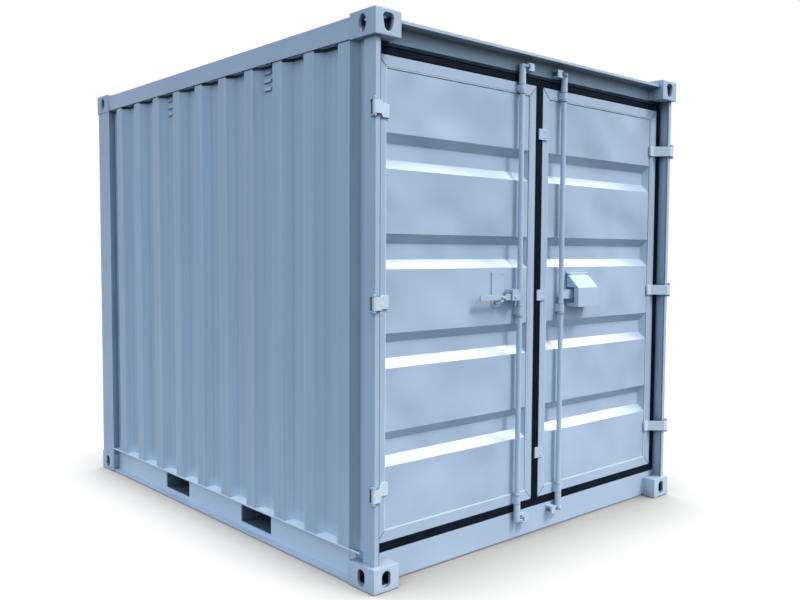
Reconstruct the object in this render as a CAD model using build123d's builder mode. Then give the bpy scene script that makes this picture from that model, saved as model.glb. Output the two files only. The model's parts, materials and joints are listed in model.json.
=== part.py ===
# Ten-foot steel storage container: corrugated walls and roof, two hinged doors at the -Y end.
# Frame: +Z up, origin on the ground under the middle of the container, +Y along its length.
# Millimetres. "Depth" is measured back from the castings' front faces, "inset" in from their sides.
import os

from build123d import *

os.makedirs("parts", exist_ok=True)

# Overall size
WIDTH = 2438
LENGTH = 2991
HEIGHT = 2591

# Corner castings
CASTING_WIDTH = 150
CASTING_LENGTH = 178
CASTING_HEIGHT = 118
CASTING_PLATE = 28
CASTING_WALL = 16
CASTING_BACK = 8
CASTING_EDGE = 4
APERTURE_LENGTH = 124
APERTURE_WIDTH = 63.5
HOLE_HEIGHT = 79
HOLE_WIDTH = 51
SHIELD_WIDTH = 62
SHIELD_ROUND = 20
SHIELD_FOOT = 24

# Frame members
POST_SETBACK = 20
POST_FACE = 26
POST_DEPTH = 80
POST_GAUGE = 6
STOP_WIDTH = 50
REAR_POST_FACE = 172
REAR_POST_BACK = 150
REAR_POST_RETURN = 40
FRAME_INSET = 5
RAIL_TOP_DROP = 18
TOP_RAIL_HEIGHT = 95
TOP_RAIL_WIDTH = 60
TOP_RAIL_GAUGE = 4
BOTTOM_RAIL_TOP = 165
BOTTOM_RAIL_LOW = 10
BOTTOM_RAIL_GAUGE = 7
BOTTOM_RAIL_FLANGE = 46
SILL_TOP = 149
SILL_DEPTH = 93
SILL_FOOT = 60
SILL_GAUGE = 6
HEADER_DROP = 137
HEADER_DEPTH = 93
HEADER_GAUGE = 5
HOOD_DROP = 46
HOOD_LIP = 15
HOOD_DEPTH = 20
DOOR_FACE_DEPTH = 85

# Corrugated side and rear walls
SHEET = 2
RIB_PITCH = 269
RIB_FACE = 86
RIB_SLOPE = 47
RIB_DEPTH = 36
RIB_INSET = 8
FIRST_RIB = 187
REAR_RIB_PITCH = 269

# Roof
ROOF_RIB_PITCH = 240
ROOF_RIB_WIDTH = 120
ROOF_RIB_HEIGHT = 9
ROOF_RIB_TAPER = 45
ROOF_EDGE = 90

# Floor, crossmembers and forklift pockets
FLOOR_THICKNESS = 28
FLOOR_TOP = 184
CROSSMEMBER_WIDTH = 45
CROSSMEMBER_GAUGE = 5
CROSSMEMBER_LOW = 34
POCKET_SPACING = 900
POCKET_WIDTH = 300
POCKET_LOW = 40
POCKET_TOP = 150
POCKET_GAUGE = 6
POCKET_STRAP = 200
END_BAY_MEMBERS = 3
MIDDLE_BAY_MEMBERS = 2

# Vents
VENT_COUNT = 3
VENT_SPACING = 42
VENT_WIDTH = 68
VENT_HEIGHT = 24
VENT_STANDOFF = 12
VENT_DROP = 70
VENT_TROUGH = 3

# Doors
DOOR_SIDE_INSET = 82
DOOR_CENTRE_GAP = 50
DOOR_LOW_GAP = 46
DOOR_TOP_GAP = 39
DOOR_THICKNESS = 50
DOOR_BAR = 50
DOOR_SIDE_BAR = 53
PANEL_RECESS = 6
TROUGH_DEPTH = 36
TROUGH_SLOPE = 44
TROUGH_END = 25
TROUGH_FLOOR = 74
TROUGH_PITCH = 456
TROUGH_COUNT = 4
TROUGH_MARGIN = 8
TROUGH_RAISE = 3
GASKET_CLEARANCE = 5
GASKET_FRONT = 85
GASKET_BACK = 128
SWING_CLEARANCE = 13

# Hinges
HINGE_INSET = 10
HINGE_DEPTH = 14
HINGE_PIN_RADIUS = 5
HINGE_RUNNING = 0.1
KNUCKLE_RADIUS = 8.5
HINGE_HEIGHT = 60
HINGE_END = 250
STRAP_GAUGE = 8
STRAP_BEND_INSET = 44
STRAP_SEAT_INSET = 112
STRAP_END_INSET = 150
LUG_THICKNESS = 9
LUG_GAP = 1
LUG_BACK = 60

# Locking bars
BAR_X = 175
BAR_DEPTH = 61
BAR_RADIUS = 14
BAR_PAST_SILL = 45
BAR_PAST_HEADER = 49
SLEEVE_RADIUS = 18
SLEEVE_GAP = 2
CAM_REACH_ACROSS = 12
CAM_REACH_OUT = 25
CAM_WIDTH = 12
CAM_HEIGHT = 12
CAM_END = 8
KEEPER_LIP = 8
KEEPER_CLEARANCE = 6
KEEPER_START = 32
KEEPER_LENGTH = 44
KEEPER_NOTCH = 10
KEEPER_REACH = 42
BEARING_RUNNING = 0.5
TOP_BEARING_DROP = 49
TOP_BEARING_HEIGHT = 34
MIDDLE_BEARING_DROP = 97
MIDDLE_BEARING_HEIGHT = 44
LOW_BEARING_RISE = 5
LOW_BEARING_HEIGHT = 44

# Left handle, its forked hub on the bar, and its catch on the door
HANDLE_PIVOT_X = 243
HANDLE_LENGTH = 255
HANDLE_HEIGHT = 27
HANDLE_THICKNESS = 8
HANDLE_ROUND = 6
EYE_LENGTH = 66
EYE_HEIGHT = 31
WAIST_LENGTH = 41
WAIST_HEIGHT = 16
HUB_WIDTH = 50
HUB_HEIGHT = 58
HUB_RAISE = 10
HUB_FRONT = 28
HUB_BACK = 72
HUB_CHEEK = 9
NECK_HEIGHT = 40
NECK_THICKNESS = 22
HANDLE_PIN_RADIUS = 5
SEAT_GAP = 1
PLATE_LEFT = 365
PLATE_RIGHT = 271
PLATE_DROP = 54
PLATE_RISE = 130
PLATE_GAUGE = 4
CATCH_X = 335
CATCH_WIDTH = 22
CATCH_HEIGHT = 14
CATCH_GAP = 2

# Lock box on the right door
BOX_LEFT = 252
BOX_RIGHT = 433
BOX_DROP = 70
BOX_SHOULDER_RISE = 36
BOX_TOP_RISE = 105
BOX_DEPTH = 84
BOX_TOP_DEPTH = 14
BOX_GAUGE = 3
BOX_NOTCH_DROP = 50
BOX_NOTCH_HEIGHT = 88
BOX_NOTCH_DEPTH = 51
BOX_LUG = 20
BOX_PIN_RADIUS = 3
BOX_KNUCKLE_RADIUS = 6
BOX_PIN_DEPTH = 77
BOX_PIN_RISE = 113
LEVER_HEIGHT = 50
LEVER_LENGTH = 150
LEVER_DEPTH = 56
LEVER_THICKNESS = 10

# Overlap clips on the right door
CLIP_HEIGHT = 58
CLIP_END = 56
CLIP_GAUGE = 9

# Values worked out from the sizes above
HALF_WIDTH = WIDTH / 2
HALF_LENGTH = LENGTH / 2
POST_INNER = POST_SETBACK + POST_FACE
POST_BACK = CASTING_LENGTH
WEB_OUTER = POST_INNER - POST_GAUGE
CASTING_TOP_LOW = HEIGHT - CASTING_HEIGHT
RAIL_TOP = HEIGHT - RAIL_TOP_DROP
TOP_RAIL_LOW = RAIL_TOP - TOP_RAIL_HEIGHT
RAIL_INNER = FRAME_INSET + BOTTOM_RAIL_FLANGE
HEADER_LOW = HEIGHT - HEADER_DROP
HOOD_LOW = HEIGHT - HOOD_DROP
FLOOR_LOW = FLOOR_TOP - FLOOR_THICKNESS
POCKET_YS = (-POCKET_SPACING / 2, POCKET_SPACING / 2)
RIB_COUNT = 1 + int((LENGTH - FIRST_RIB - RIB_FACE - RIB_SLOPE - REAR_POST_FACE - FRAME_INSET) / RIB_PITCH)
REAR_RIB_COUNT = int((WIDTH - 2 * REAR_POST_BACK - RIB_FACE - 2 * RIB_SLOPE) / REAR_RIB_PITCH)
ROOF_RIB_COUNT = 1 + int((LENGTH - 2 * CASTING_LENGTH - ROOF_RIB_WIDTH) / ROOF_RIB_PITCH)
VENT_CENTRE = TOP_RAIL_LOW - VENT_DROP
DOOR_LOW = SILL_TOP + DOOR_LOW_GAP
DOOR_TOP = HEADER_LOW - DOOR_TOP_GAP
DOOR_MIDDLE = (DOOR_LOW + DOOR_TOP) / 2
DOOR_EDGE = HALF_WIDTH - DOOR_SIDE_INSET
DOOR_CENTRE = DOOR_CENTRE_GAP / 2
DOOR_BACK_DEPTH = DOOR_FACE_DEPTH + DOOR_THICKNESS
STOP_DEPTH = DOOR_BACK_DEPTH + GASKET_CLEARANCE
PANEL_DEPTH = DOOR_FACE_DEPTH + PANEL_RECESS
PANEL_WIDTH = DOOR_EDGE - DOOR_SIDE_BAR - DOOR_CENTRE - DOOR_BAR
PANEL_HEIGHT = DOOR_TOP - DOOR_LOW - 2 * DOOR_BAR
HINGE_ZS = (DOOR_LOW + HINGE_END, DOOR_MIDDLE, DOOR_TOP - HINGE_END)
TOP_BEARING = DOOR_TOP - TOP_BEARING_DROP
MIDDLE_BEARING = DOOR_MIDDLE - MIDDLE_BEARING_DROP
LOW_BEARING = DOOR_LOW + LOW_BEARING_RISE
BAR_LOW = SILL_TOP - BAR_PAST_SILL
BAR_TOP = HEADER_LOW + BAR_PAST_HEADER
CAM_ZS = (BAR_LOW + CAM_END, BAR_TOP - CAM_END)
HANDLE_Z = DOOR_MIDDLE
HANDLE_DEPTH = HUB_FRONT + HUB_CHEEK + SEAT_GAP
PLATE_LOW = HANDLE_Z - PLATE_DROP
PLATE_TOP = HANDLE_Z + PLATE_RISE
BOX_LOW = HANDLE_Z - BOX_DROP
BOX_SHOULDER = HANDLE_Z + BOX_SHOULDER_RISE
BOX_TOP = HANDLE_Z + BOX_TOP_RISE
BOX_NOTCH_LOW = HANDLE_Z - BOX_NOTCH_DROP
BOX_PIN_Z = HANDLE_Z + BOX_PIN_RISE


def front(depth):
    """Upright plane that many millimetres behind the castings' front faces, facing outwards."""
    return Plane.XZ.offset(HALF_LENGTH - depth)


def save(piece, name):
    """Name a finished piece and write it."""
    piece.part.label = name
    export_step(piece.part, f"parts/{name}.step")


def pressing(points, gauge, side):
    """Section of a bent sheet: an open line of bends, thickened to one side."""
    with BuildSketch() as section:
        with BuildLine():
            Polyline(*points)
            offset(amount=gauge, side=side, kind=Kind.INTERSECTION)
        make_face()
    return section.sketch


def in_plan(points, side):
    """Turn (inset, depth) pairs into x, y on the left (-1) or right (+1) side."""
    return [(side * (HALF_WIDTH - inset), depth - HALF_LENGTH) for inset, depth in points]


def inner_side(side):
    """Which side of a line drawn backwards along a wall is the inside of the container."""
    return Side.LEFT if side > 0 else Side.RIGHT


def in_profile(points):
    """Turn (depth, height) pairs into y, z."""
    return [(depth - HALF_LENGTH, height) for depth, height in points]


def casting_holes(top):
    """Hole outlines of a casting's end and side faces, drawn round the origin."""
    with BuildSketch() as end_hole:
        if top:
            shoulder = (SHIELD_WIDTH / 2 - SHIELD_ROUND, HOLE_HEIGHT / 2 - SHIELD_ROUND)
            with Locations(shoulder, (-shoulder[0], shoulder[1])):
                Circle(SHIELD_ROUND)
            with Locations((0, SHIELD_FOOT - HOLE_HEIGHT / 2)):
                Circle(SHIELD_FOOT)
            make_hull()
        else:
            SlotOverall(HOLE_HEIGHT, HOLE_WIDTH, rotation=90)
    with BuildSketch() as side_hole:
        if top:
            Ellipse(HOLE_WIDTH / 2, HOLE_HEIGHT / 2)
        else:
            SlotOverall(HOLE_HEIGHT, HOLE_WIDTH, rotation=90)
    return end_hole.sketch, side_hole.sketch


def corner_castings(name, end, top):
    """Two hollow blocks, each with a long aperture in its outer plate and a hole in each outer face."""
    up = 1 if top else -1
    y = end * (HALF_LENGTH - CASTING_LENGTH / 2)
    z = HEIGHT - CASTING_HEIGHT / 2 if top else CASTING_HEIGHT / 2
    inward = (CASTING_WALL - CASTING_BACK) / 2
    cavity_z = z - up * (CASTING_PLATE - CASTING_BACK) / 2
    end_hole, side_hole = casting_holes(top)
    with BuildPart() as castings:
        with Locations(*[(side * (HALF_WIDTH - CASTING_WIDTH / 2), y, z) for side in (-1, 1)]):
            Box(CASTING_WIDTH, CASTING_LENGTH, CASTING_HEIGHT)
        outer_faces = castings.faces().group_by(Axis.Z)[-1 if top else 0]
        chamfer(outer_faces.edges(), CASTING_EDGE)
        for side in (-1, 1):
            x = side * (HALF_WIDTH - CASTING_WIDTH / 2)
            with Locations((x - side * inward, y - end * inward, cavity_z)):
                Box(
                    CASTING_WIDTH - CASTING_WALL - CASTING_BACK,
                    CASTING_LENGTH - CASTING_WALL - CASTING_BACK,
                    CASTING_HEIGHT - CASTING_PLATE - CASTING_BACK,
                    mode=Mode.SUBTRACT,
                )
            with BuildSketch(Plane((x, y, z + up * CASTING_HEIGHT / 2), x_dir=(0, 1, 0), z_dir=(0, 0, up))):
                SlotOverall(APERTURE_LENGTH, APERTURE_WIDTH)
            extrude(amount=-CASTING_PLATE, mode=Mode.SUBTRACT)
            with BuildSketch(Plane((x, end * HALF_LENGTH, z), x_dir=(-end, 0, 0), z_dir=(0, end, 0))):
                add(end_hole)
            extrude(amount=-CASTING_WALL, mode=Mode.SUBTRACT)
            with BuildSketch(Plane((side * HALF_WIDTH, y, z), x_dir=(0, side, 0), z_dir=(side, 0, 0))):
                add(side_hole)
            extrude(amount=-CASTING_WALL, mode=Mode.SUBTRACT)
    save(castings, name)


def front_post(name, side):
    """Door-end post: a narrow box at the corner, a web behind it and a channel that stops the door."""
    with BuildPart() as post:
        with BuildSketch(Plane.XY.offset(CASTING_HEIGHT)):
            with BuildLine():
                corners = (
                    (POST_SETBACK, POST_SETBACK),
                    (POST_INNER, POST_SETBACK),
                    (POST_INNER, POST_BACK),
                    (WEB_OUTER, POST_BACK),
                    (WEB_OUTER, POST_SETBACK + POST_DEPTH),
                    (POST_SETBACK, POST_SETBACK + POST_DEPTH),
                )
                Polyline(*in_plan(corners, side), close=True)
            make_face()
            with BuildLine():
                hollow = (
                    (POST_SETBACK + POST_GAUGE, POST_SETBACK + POST_GAUGE),
                    (POST_INNER - POST_GAUGE, POST_SETBACK + POST_GAUGE),
                    (POST_INNER - POST_GAUGE, POST_SETBACK + POST_DEPTH - POST_GAUGE),
                    (POST_SETBACK + POST_GAUGE, POST_SETBACK + POST_DEPTH - POST_GAUGE),
                )
                Polyline(*in_plan(hollow, side), close=True)
            make_face(mode=Mode.SUBTRACT)
        extrude(amount=CASTING_TOP_LOW - CASTING_HEIGHT)
        with BuildSketch(Plane.XY.offset(SILL_TOP)):
            with BuildLine():
                channel = (
                    (POST_INNER, STOP_DEPTH),
                    (POST_INNER + STOP_WIDTH, STOP_DEPTH),
                    (POST_INNER + STOP_WIDTH, POST_BACK),
                    (POST_INNER + STOP_WIDTH - POST_GAUGE, POST_BACK),
                    (POST_INNER + STOP_WIDTH - POST_GAUGE, STOP_DEPTH + POST_GAUGE),
                    (POST_INNER, STOP_DEPTH + POST_GAUGE),
                )
                Polyline(*in_plan(channel, side), close=True)
            make_face()
        extrude(amount=HEADER_LOW - SILL_TOP)
    save(post, name)


def rear_post(name, side):
    """Blind-end post: one pressing round the corner, its edges turned in to carry the walls."""
    low = LENGTH - FRAME_INSET - REAR_POST_FACE
    back = LENGTH - FRAME_INSET
    bends = (
        (FRAME_INSET + REAR_POST_RETURN, low),
        (FRAME_INSET, low),
        (FRAME_INSET, back),
        (REAR_POST_BACK, back),
        (REAR_POST_BACK, back - REAR_POST_RETURN),
    )
    section = pressing(in_plan(bends, side), POST_GAUGE, inner_side(side))
    with BuildPart() as post:
        with BuildSketch(Plane.XY.offset(CASTING_HEIGHT)):
            add(section)
        extrude(amount=CASTING_TOP_LOW - CASTING_HEIGHT)
    save(post, name)


def top_side_rail(name, side):
    """Box section between the upper castings."""
    with BuildPart() as rail:
        with BuildSketch(front(CASTING_LENGTH)):
            middle = side * (HALF_WIDTH - FRAME_INSET - TOP_RAIL_WIDTH / 2)
            with Locations((middle, RAIL_TOP - TOP_RAIL_HEIGHT / 2)):
                Rectangle(TOP_RAIL_WIDTH, TOP_RAIL_HEIGHT)
                Rectangle(
                    TOP_RAIL_WIDTH - 2 * TOP_RAIL_GAUGE,
                    TOP_RAIL_HEIGHT - 2 * TOP_RAIL_GAUGE,
                    mode=Mode.SUBTRACT,
                )
        extrude(amount=2 * CASTING_LENGTH - LENGTH)
    save(rail, name)


def bottom_side_rail(name, side):
    """Channel that opens outwards between the lower castings, cut through for the forklift pockets."""
    bends = (
        (FRAME_INSET, BOTTOM_RAIL_TOP),
        (RAIL_INNER, BOTTOM_RAIL_TOP),
        (RAIL_INNER, BOTTOM_RAIL_LOW),
        (FRAME_INSET, BOTTOM_RAIL_LOW),
    )
    points = [(side * (HALF_WIDTH - inset), height) for inset, height in bends]
    section = pressing(points, BOTTOM_RAIL_GAUGE, inner_side(side))
    with BuildPart() as rail:
        with BuildSketch(front(CASTING_LENGTH)):
            add(section)
        extrude(amount=2 * CASTING_LENGTH - LENGTH)
        pocket_z = (POCKET_LOW + POCKET_TOP) / 2
        with Locations(*[(side * (HALF_WIDTH - RAIL_INNER / 2), y, pocket_z) for y in POCKET_YS]):
            Box(2 * RAIL_INNER, POCKET_WIDTH, POCKET_TOP - POCKET_LOW, mode=Mode.SUBTRACT)
    save(rail, name)


def door_sill():
    """Pressed channel under the doors, notched over the lower castings."""
    bends = (
        (DOOR_FACE_DEPTH + SILL_DEPTH, SILL_TOP),
        (DOOR_FACE_DEPTH, SILL_TOP),
        (DOOR_FACE_DEPTH, BOTTOM_RAIL_LOW),
        (DOOR_FACE_DEPTH + SILL_FOOT, BOTTOM_RAIL_LOW),
    )
    section = pressing(in_profile(bends), SILL_GAUGE, Side.LEFT)
    with BuildPart() as sill:
        with BuildSketch(Plane.YZ):
            add(section)
        extrude(amount=HALF_WIDTH - POST_INNER, both=True)
        for side in (-1, 1):
            casting_x = side * (HALF_WIDTH - CASTING_WIDTH / 2)
            with Locations((casting_x, (CASTING_LENGTH - LENGTH) / 2, CASTING_HEIGHT / 2)):
                Box(CASTING_WIDTH, CASTING_LENGTH, CASTING_HEIGHT, mode=Mode.SUBTRACT)
    save(sill, "door_sill")


def door_header():
    """Box section over the doors with a rain hood along its front."""
    back = DOOR_FACE_DEPTH + HEADER_DEPTH
    outline = (
        (DOOR_FACE_DEPTH, HEADER_LOW),
        (DOOR_FACE_DEPTH, HOOD_LOW),
        (HOOD_DEPTH, HOOD_LOW),
        (HOOD_DEPTH, HOOD_LOW + HOOD_LIP),
        (back, RAIL_TOP),
        (back, HEADER_LOW),
    )
    hollow = (
        (DOOR_FACE_DEPTH + HEADER_GAUGE, HEADER_LOW + HEADER_GAUGE),
        (DOOR_FACE_DEPTH + HEADER_GAUGE, HOOD_LOW + HEADER_GAUGE),
        (back - HEADER_GAUGE, RAIL_TOP - 2 * HEADER_GAUGE),
        (back - HEADER_GAUGE, HEADER_LOW + HEADER_GAUGE),
    )
    with BuildPart() as header:
        with BuildSketch(Plane.YZ):
            with BuildLine():
                Polyline(*in_profile(outline), close=True)
            make_face()
            with BuildLine():
                Polyline(*in_profile(hollow), close=True)
            make_face(mode=Mode.SUBTRACT)
        extrude(amount=HALF_WIDTH - CASTING_WIDTH, both=True)
        shelf_y = DOOR_FACE_DEPTH + HEADER_DEPTH / 2 - HALF_LENGTH
        shelf_height = CASTING_TOP_LOW - HEADER_LOW
        with BuildSketch(Plane.YZ):
            with Locations((shelf_y, HEADER_LOW + shelf_height / 2)):
                Rectangle(HEADER_DEPTH, shelf_height)
                Rectangle(
                    HEADER_DEPTH - 2 * HEADER_GAUGE,
                    shelf_height - 2 * HEADER_GAUGE,
                    mode=Mode.SUBTRACT,
                )
        extrude(amount=HALF_WIDTH - POST_INNER, both=True)
        with Locations((0, shelf_y, HEADER_LOW + shelf_height - HEADER_GAUGE / 2)):
            Box(
                WIDTH - 2 * CASTING_WIDTH - 2 * HEADER_GAUGE,
                HEADER_DEPTH - 2 * HEADER_GAUGE,
                HEADER_GAUGE,
                mode=Mode.SUBTRACT,
            )
    save(header, "door_header")


def rear_top_rail():
    """Box section across the blind end."""
    with BuildPart() as rail:
        with BuildSketch(Plane.YZ):
            with Locations((HALF_LENGTH - FRAME_INSET - TOP_RAIL_WIDTH / 2, RAIL_TOP - TOP_RAIL_HEIGHT / 2)):
                Rectangle(TOP_RAIL_WIDTH, TOP_RAIL_HEIGHT)
                Rectangle(
                    TOP_RAIL_WIDTH - 2 * TOP_RAIL_GAUGE,
                    TOP_RAIL_HEIGHT - 2 * TOP_RAIL_GAUGE,
                    mode=Mode.SUBTRACT,
                )
        extrude(amount=HALF_WIDTH - CASTING_WIDTH, both=True)
    save(rail, "rear_top_rail")


def rear_bottom_rail():
    """Channel across the blind end, opening outwards as the side rails do."""
    bends = (
        (LENGTH - FRAME_INSET, BOTTOM_RAIL_TOP),
        (LENGTH - RAIL_INNER, BOTTOM_RAIL_TOP),
        (LENGTH - RAIL_INNER, BOTTOM_RAIL_LOW),
        (LENGTH - FRAME_INSET, BOTTOM_RAIL_LOW),
    )
    section = pressing(in_profile(bends), BOTTOM_RAIL_GAUGE, Side.LEFT)
    with BuildPart() as rail:
        with BuildSketch(Plane.YZ):
            add(section)
        extrude(amount=HALF_WIDTH - CASTING_WIDTH, both=True)
    save(rail, "rear_bottom_rail")


def side_wall(name, side):
    """Corrugated sheet from the door post's web to the rear post, standing on the bottom rail."""
    lap_inset = WEB_OUTER - SHEET
    lap_slope = RIB_SLOPE * (lap_inset - RIB_INSET) / RIB_DEPTH
    lap_start = POST_SETBACK + POST_DEPTH + POST_INNER - WEB_OUTER
    bends = [(lap_inset, lap_start), (lap_inset, FIRST_RIB - lap_slope)]
    for rib in range(RIB_COUNT):
        near = FIRST_RIB + rib * RIB_PITCH
        bends += [(RIB_INSET, near), (RIB_INSET, near + RIB_FACE)]
        bends += [(RIB_INSET + RIB_DEPTH, near + RIB_FACE + RIB_SLOPE)]
        if rib < RIB_COUNT - 1:
            bends += [(RIB_INSET + RIB_DEPTH, near + RIB_PITCH - RIB_SLOPE)]
    bends += [(RIB_INSET + RIB_DEPTH, LENGTH - FRAME_INSET - REAR_POST_FACE)]
    section = pressing(in_plan(bends, side), SHEET, inner_side(side))
    with BuildPart() as wall:
        with BuildSketch(Plane.XY.offset(BOTTOM_RAIL_TOP)):
            add(section)
        extrude(amount=TOP_RAIL_LOW - BOTTOM_RAIL_TOP)
        for end in (-1, 1):
            casting_y = end * (HALF_LENGTH - CASTING_LENGTH / 2)
            with Locations((side * (HALF_WIDTH - CASTING_WIDTH / 2), casting_y, HEIGHT - CASTING_HEIGHT / 2)):
                Box(CASTING_WIDTH, CASTING_LENGTH, CASTING_HEIGHT, mode=Mode.SUBTRACT)
    save(wall, name)


def rear_wall():
    """Corrugated sheet across the blind end, with the same ribs as the sides."""
    edge = HALF_WIDTH - REAR_POST_BACK
    trough = HALF_LENGTH - RIB_INSET - RIB_DEPTH
    bends = [(-edge, trough)]
    for rib in range(REAR_RIB_COUNT):
        middle = (rib - (REAR_RIB_COUNT - 1) / 2) * REAR_RIB_PITCH
        half = RIB_FACE / 2
        bends += [(middle - half - RIB_SLOPE, trough), (middle - half, trough + RIB_DEPTH)]
        bends += [(middle + half, trough + RIB_DEPTH), (middle + half + RIB_SLOPE, trough)]
    bends += [(edge, trough)]
    section = pressing(bends, SHEET, Side.RIGHT)
    with BuildPart() as wall:
        with BuildSketch(Plane.XY.offset(BOTTOM_RAIL_TOP)):
            add(section)
        extrude(amount=TOP_RAIL_LOW - BOTTOM_RAIL_TOP)
    save(wall, "rear_wall")


def wall_vents(name, side):
    """Small hooded louvres on two trough floors, high on the wall."""
    outer = RIB_INSET + RIB_DEPTH
    with BuildPart() as vents:
        for trough in (VENT_TROUGH, RIB_COUNT - VENT_TROUGH):
            y = FIRST_RIB + trough * RIB_PITCH - (RIB_PITCH - RIB_FACE) / 2 - HALF_LENGTH
            for row in range(VENT_COUNT):
                z = VENT_CENTRE + (row - (VENT_COUNT - 1) / 2) * VENT_SPACING
                hood = (
                    (side * (HALF_WIDTH - outer), z + VENT_HEIGHT / 2),
                    (side * (HALF_WIDTH - outer + VENT_STANDOFF), z - VENT_HEIGHT / 2),
                    (side * (HALF_WIDTH - outer), z - VENT_HEIGHT / 2),
                )
                with BuildSketch(Plane.XZ.offset(-y)):
                    with BuildLine():
                        Polyline(*hood, close=True)
                    make_face()
                extrude(amount=VENT_WIDTH / 2, both=True)
    save(vents, name)


def roof():
    """Sheet over the rails with shallow stamped ribs across it."""
    rear_edge = HALF_LENGTH - FRAME_INSET
    body_edge = HALF_LENGTH - CASTING_LENGTH
    rib_length = WIDTH - 2 * ROOF_EDGE
    with BuildPart() as sheet:
        with BuildSketch(Plane.XY.offset(RAIL_TOP)):
            Rectangle(WIDTH - 2 * FRAME_INSET, 2 * body_edge)
            with Locations((0, (body_edge + rear_edge) / 2)):
                Rectangle(WIDTH - 2 * CASTING_WIDTH, rear_edge - body_edge)
        extrude(amount=SHEET)
        with BuildSketch(Plane.XY.offset(RAIL_TOP + SHEET)):
            with GridLocations(0, ROOF_RIB_PITCH, 1, ROOF_RIB_COUNT):
                Rectangle(rib_length, ROOF_RIB_WIDTH)
        extrude(amount=ROOF_RIB_HEIGHT, taper=ROOF_RIB_TAPER)
        with BuildSketch(Plane.XY.offset(RAIL_TOP)):
            with GridLocations(0, ROOF_RIB_PITCH, 1, ROOF_RIB_COUNT):
                Rectangle(rib_length, ROOF_RIB_WIDTH)
        extrude(amount=ROOF_RIB_HEIGHT, taper=ROOF_RIB_TAPER, mode=Mode.SUBTRACT)
    save(sheet, "roof")


def floor():
    """Plywood deck between the bottom rails."""
    front_edge = CASTING_LENGTH - HALF_LENGTH
    back_edge = HALF_LENGTH - RAIL_INNER
    with BuildPart() as deck:
        with BuildSketch(Plane.XY.offset(FLOOR_LOW)):
            with Locations((0, (front_edge + back_edge) / 2)):
                Rectangle(WIDTH - 2 * RAIL_INNER, back_edge - front_edge)
        extrude(amount=FLOOR_THICKNESS)
    save(deck, "floor")


def crossmembers():
    """Pressed channels under the deck, shared out between the pockets and the two ends."""
    near_pocket = POCKET_YS[0] - POCKET_WIDTH / 2 - POCKET_GAUGE
    far_pocket = POCKET_YS[1] + POCKET_WIDTH / 2 + POCKET_GAUGE
    bays = (
        (CASTING_LENGTH - HALF_LENGTH, near_pocket, END_BAY_MEMBERS),
        (POCKET_YS[0] + POCKET_WIDTH / 2, POCKET_YS[1] - POCKET_WIDTH / 2, MIDDLE_BAY_MEMBERS),
        (far_pocket, HALF_LENGTH - RAIL_INNER, END_BAY_MEMBERS),
    )
    with BuildPart() as members:
        for start, end, count in bays:
            for i in range(count):
                y = start + (i + 1) * (end - start) / (count + 1)
                with BuildSketch(Plane.YZ):
                    with Locations((y, (CROSSMEMBER_LOW + FLOOR_LOW) / 2)):
                        Rectangle(CROSSMEMBER_WIDTH, FLOOR_LOW - CROSSMEMBER_LOW)
                    with Locations((y + CROSSMEMBER_GAUGE, (CROSSMEMBER_LOW + FLOOR_LOW) / 2)):
                        Rectangle(
                            CROSSMEMBER_WIDTH,
                            FLOOR_LOW - CROSSMEMBER_LOW - 2 * CROSSMEMBER_GAUGE,
                            mode=Mode.SUBTRACT,
                        )
                extrude(amount=HALF_WIDTH - RAIL_INNER, both=True)
    save(members, "crossmembers")


def pocket_webs():
    """Upright plates on both sides of each forklift pocket, from rail to rail."""
    offset_y = (POCKET_WIDTH + POCKET_GAUGE) / 2
    height = FLOOR_LOW - POCKET_LOW
    with BuildPart() as webs:
        middles = [y + side * offset_y for y in POCKET_YS for side in (-1, 1)]
        with Locations(*[(0, y, POCKET_LOW + height / 2) for y in middles]):
            Box(WIDTH - 2 * RAIL_INNER, POCKET_GAUGE, height)
    save(webs, "pocket_webs")


def pocket_plates():
    """Plate over each forklift pocket, and a strap under each end of it."""
    length = WIDTH - 2 * RAIL_INNER
    strap_x = (length - POCKET_STRAP) / 2
    strap_z = POCKET_LOW - POCKET_GAUGE / 2
    with BuildPart() as plates:
        with Locations(*[(0, y, (POCKET_TOP + FLOOR_LOW) / 2) for y in POCKET_YS]):
            Box(length, POCKET_WIDTH, FLOOR_LOW - POCKET_TOP)
        with Locations(*[(side * strap_x, y, strap_z) for y in POCKET_YS for side in (-1, 1)]):
            Box(POCKET_STRAP, POCKET_WIDTH + 2 * POCKET_GAUGE, POCKET_GAUGE)
    save(plates, "pocket_plates")


def hinge_lugs(name, side):
    """Pairs of lugs on the post's outer corner, each pair with its pin."""
    plate_low = HINGE_HEIGHT / 2 + LUG_GAP
    with BuildSketch() as lug:
        with Locations(*in_plan([(HINGE_INSET, HINGE_DEPTH)], side)):
            Circle(KNUCKLE_RADIUS)
        with BuildLine():
            Line(*in_plan([(POST_SETBACK, POST_SETBACK + LUG_GAP), (POST_SETBACK, LUG_BACK)], side))
        make_hull()
    with BuildPart() as lugs:
        for middle in HINGE_ZS:
            for low in (middle + plate_low, middle - plate_low - LUG_THICKNESS):
                with BuildSketch(Plane.XY.offset(low)):
                    add(lug.sketch)
                extrude(amount=LUG_THICKNESS)
            with BuildSketch(Plane.XY.offset(middle - plate_low - LUG_THICKNESS)):
                with Locations(*in_plan([(HINGE_INSET, HINGE_DEPTH)], side)):
                    Circle(HINGE_PIN_RADIUS)
            extrude(amount=2 * (plate_low + LUG_THICKNESS))
    save(lugs, name)


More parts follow.
